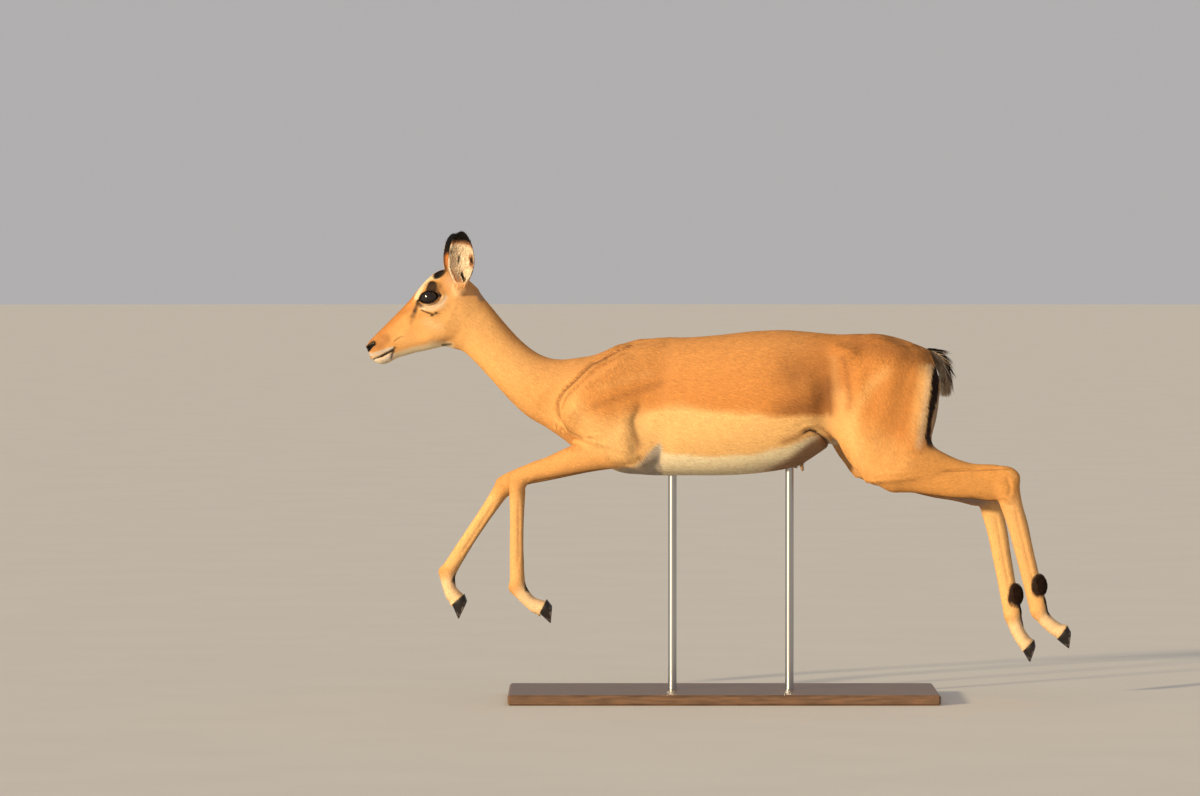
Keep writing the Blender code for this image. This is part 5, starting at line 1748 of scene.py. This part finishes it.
def add_noise(tree, scale, detail=3.0, stretch=(1, 1, 1)):
    """A noise texture in the object's own space."""
    place = tree.nodes.new("ShaderNodeTexCoord")
    mapping = tree.nodes.new("ShaderNodeMapping")
    mapping.inputs["Scale"].default_value = stretch
    texture = tree.nodes.new("ShaderNodeTexNoise")
    texture.inputs["Scale"].default_value = scale
    texture.inputs["Detail"].default_value = detail
    tree.links.new(place.outputs["Object"], mapping.inputs["Vector"])
    tree.links.new(mapping.outputs["Vector"], texture.inputs["Vector"])
    return texture.outputs["Fac"]


def vary(tree, source, colour, low, high):
    """A colour made darker and lighter by a value from 0 to 1."""
    levels = tree.nodes.new("ShaderNodeMapRange")
    levels.inputs["From Min"].default_value = 0.3
    levels.inputs["From Max"].default_value = 0.7
    levels.inputs["To Min"].default_value = low
    levels.inputs["To Max"].default_value = high
    tree.links.new(source, levels.inputs["Value"])
    scale = tree.nodes.new("ShaderNodeVectorMath")
    scale.operation = "SCALE"
    tree.links.new(colour, scale.inputs[0])
    tree.links.new(levels.outputs["Result"], scale.inputs["Scale"])
    return scale.outputs["Vector"]


def add_bump(tree, shader, source, depth):
    bump = tree.nodes.new("ShaderNodeBump")
    bump.inputs["Strength"].default_value = 0.6
    bump.inputs["Distance"].default_value = depth
    tree.links.new(source, bump.inputs["Height"])
    tree.links.new(bump.outputs["Normal"], shader.inputs["Normal"])


def toned_material(name, roughness, scale, low, high, bump=0.0, **values):
    """A material that takes its colour from the mesh, varied by noise."""
    found, shader, tree = new_material(name, roughness, **values)
    tone = tree.nodes.new("ShaderNodeAttribute")
    tone.attribute_name = "tone"
    texture = add_noise(tree, scale)
    tree.links.new(vary(tree, texture, tone.outputs["Color"], low, high), shader.inputs["Base Color"])
    if bump:
        add_bump(tree, shader, texture, bump)
    return found


def eye_material():
    """A dark wet eye, its colour varied by noise."""
    gloss = {"Coat_Weight": 0.2, "Coat_Roughness": 0.02, "Specular_IOR_Level": 0.45}
    found, shader, tree = new_material("eye", 0.2, **gloss)
    place = tree.nodes.new("ShaderNodeTexCoord")
    parts = tree.nodes.new("ShaderNodeSeparateXYZ")
    tree.links.new(place.outputs["Object"], parts.inputs["Vector"])
    ramp = tree.nodes.new("ShaderNodeValToRGB")
    ramp.color_ramp.elements[0].position = 0.35
    ramp.color_ramp.elements[0].color = (0.014, 0.006, 0.004, 1)
    ramp.color_ramp.elements[1].position = 0.7
    ramp.color_ramp.elements[1].color = (0.004, 0.002, 0.002, 1)
    tree.links.new(add_noise(tree, 160), ramp.inputs["Fac"])
    tree.links.new(ramp.outputs["Color"], shader.inputs["Base Color"])
    return found


def plain_material(name, colour, roughness, scale, low, high, bump=0, metallic=0, stretch=(1, 1, 1)):
    """A material of one colour, varied by noise."""
    found, shader, tree = new_material(name, roughness, metallic)
    base = tree.nodes.new("ShaderNodeRGB")
    base.outputs[0].default_value = (*colour, 1)
    texture = add_noise(tree, scale, stretch=stretch)
    tree.links.new(vary(tree, texture, base.outputs[0], low, high), shader.inputs["Base Color"])
    if bump:
        add_bump(tree, shader, texture, bump)
    return found


# ---------------------------------------------------------------- the scene

SKIN_SHADE = 0.9  # the skin is a little darker than the coat over it
NOT_FLESH = ("hoof", "eye", "stand")


def make_animal():
    skin = make_skin()
    points, _, normals = arrays_of(skin.data)
    give_colours(skin, markings_and_painted_light(points, normals, Lie(points)) * SKIN_SHADE)
    hide = toned_material("skin", 0.75, 700, 0.9, 1.06, bump=0.2 * MM, Specular_IOR_Level=0.3)
    skin.data.materials.append(hide)
    flesh = [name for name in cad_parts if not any(word in name for word in NOT_FLESH)]
    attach(skin, "root")
    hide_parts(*flesh)

    coat = Coat()
    add_tufts(coat, skin)
    add_tail(coat)
    add_fringes(coat)
    add_ear_hair(coat, skin)
    add_lashes(coat)
    fur = toned_material("fur", 0.66, 260, 0.92, 1.06, Sheen_Weight=0.02, Specular_IOR_Level=0.1)
    for piece in coat.build(fur):
        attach(piece, "root")

    horn = toned_material("horn", 0.4, 300, 0.8, 1.2, bump=0.3 * MM, Specular_IOR_Level=0.3)
    for leg, side, joints in LEGS:
        for word, place in (("outer", side), ("inner", -side)):
            made = claw(f"claw_{leg}_{word}", leg, joints, side, place)
            made.data.materials.append(horn)
            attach(made, "root")
            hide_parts(f"{leg}_hoof_{word}")
    wet = eye_material()
    for side, word in SIDE_WORDS.items():
        made = eyeball("eyeball_" + word, side)
        made.data.materials.append(wet)
        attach(made, "root")
        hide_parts("eye_" + word)


def dress_stand():
    wood = plain_material("board", (0.16, 0.085, 0.045), 0.42, 30, 0.6, 1.3, 0.2 * MM, stretch=(0.6, 6, 6))
    steel = plain_material("rod", (0.5, 0.5, 0.5), 0.3, 60, 0.92, 1.05, 0, 1.0, (1, 1, 0.1))
    for name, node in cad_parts.items():
        if name.startswith("stand"):
            node.material_slots[0].material = wood if "base" in name else steel


SUN_FROM = (-0.66, -0.72, 0.22)
SUN_COLOUR, SUN_ENERGY, SUN_WIDTH = (1.0, 0.80, 0.51), 4.25, math.radians(4)
SKY_COLOUR, SKY_STRENGTH = (0.95, 0.93, 0.93, 1), 0.46
FLOOR_COLOUR, FLOOR_RADIUS = (0.70, 0.67, 0.62), 60


def make_studio():
    bpy.ops.mesh.primitive_circle_add(vertices=96, radius=FLOOR_RADIUS, fill_type="NGON")
    floor = bpy.context.object
    floor.name = "floor"
    floor.data.materials.append(plain_material("floor", FLOOR_COLOUR, 0.85, 3, 0.98, 1.02))
    scene = bpy.context.scene
    scene.world = bpy.data.worlds.new("studio")
    scene.world.use_nodes = True
    sky = scene.world.node_tree.nodes["Background"]
    sky.inputs["Color"].default_value = SKY_COLOUR
    sky.inputs["Strength"].default_value = SKY_STRENGTH
    sun = bpy.data.objects.new("key", bpy.data.lights.new("key", "SUN"))
    sun.data.energy, sun.data.angle, sun.data.color = SUN_ENERGY, SUN_WIDTH, SUN_COLOUR
    sun.rotation_euler = Vector(SUN_FROM).to_track_quat("Z", "Y").to_euler()
    scene.collection.objects.link(sun)
    scene.view_settings.view_transform = "Standard"


CAMERA_AIM = Vector((-0.248, 0, 0.634))
CAMERA_DISTANCE = 16.0
CAMERA_RISE = math.radians(1.5)
VIEW_WIDTH = 2.52  # at the animal
SENSOR = 36  # millimetres
SIGHT = 200  # how far the camera sees


def make_camera():
    camera = bpy.data.objects.new("camera", bpy.data.cameras.new("camera"))
    camera.data.sensor_width = SENSOR
    camera.data.lens = SENSOR * CAMERA_DISTANCE / VIEW_WIDTH
    camera.data.clip_end = SIGHT
    back = Vector((0, -math.cos(CAMERA_RISE), math.sin(CAMERA_RISE)))
    camera.location = CAMERA_AIM + back * CAMERA_DISTANCE
    camera.rotation_euler = back.to_track_quat("Z", "Y").to_euler()
    bpy.context.scene.collection.objects.link(camera)
    bpy.context.scene.camera = camera


make_animal()
dress_stand()
make_studio()
make_camera()
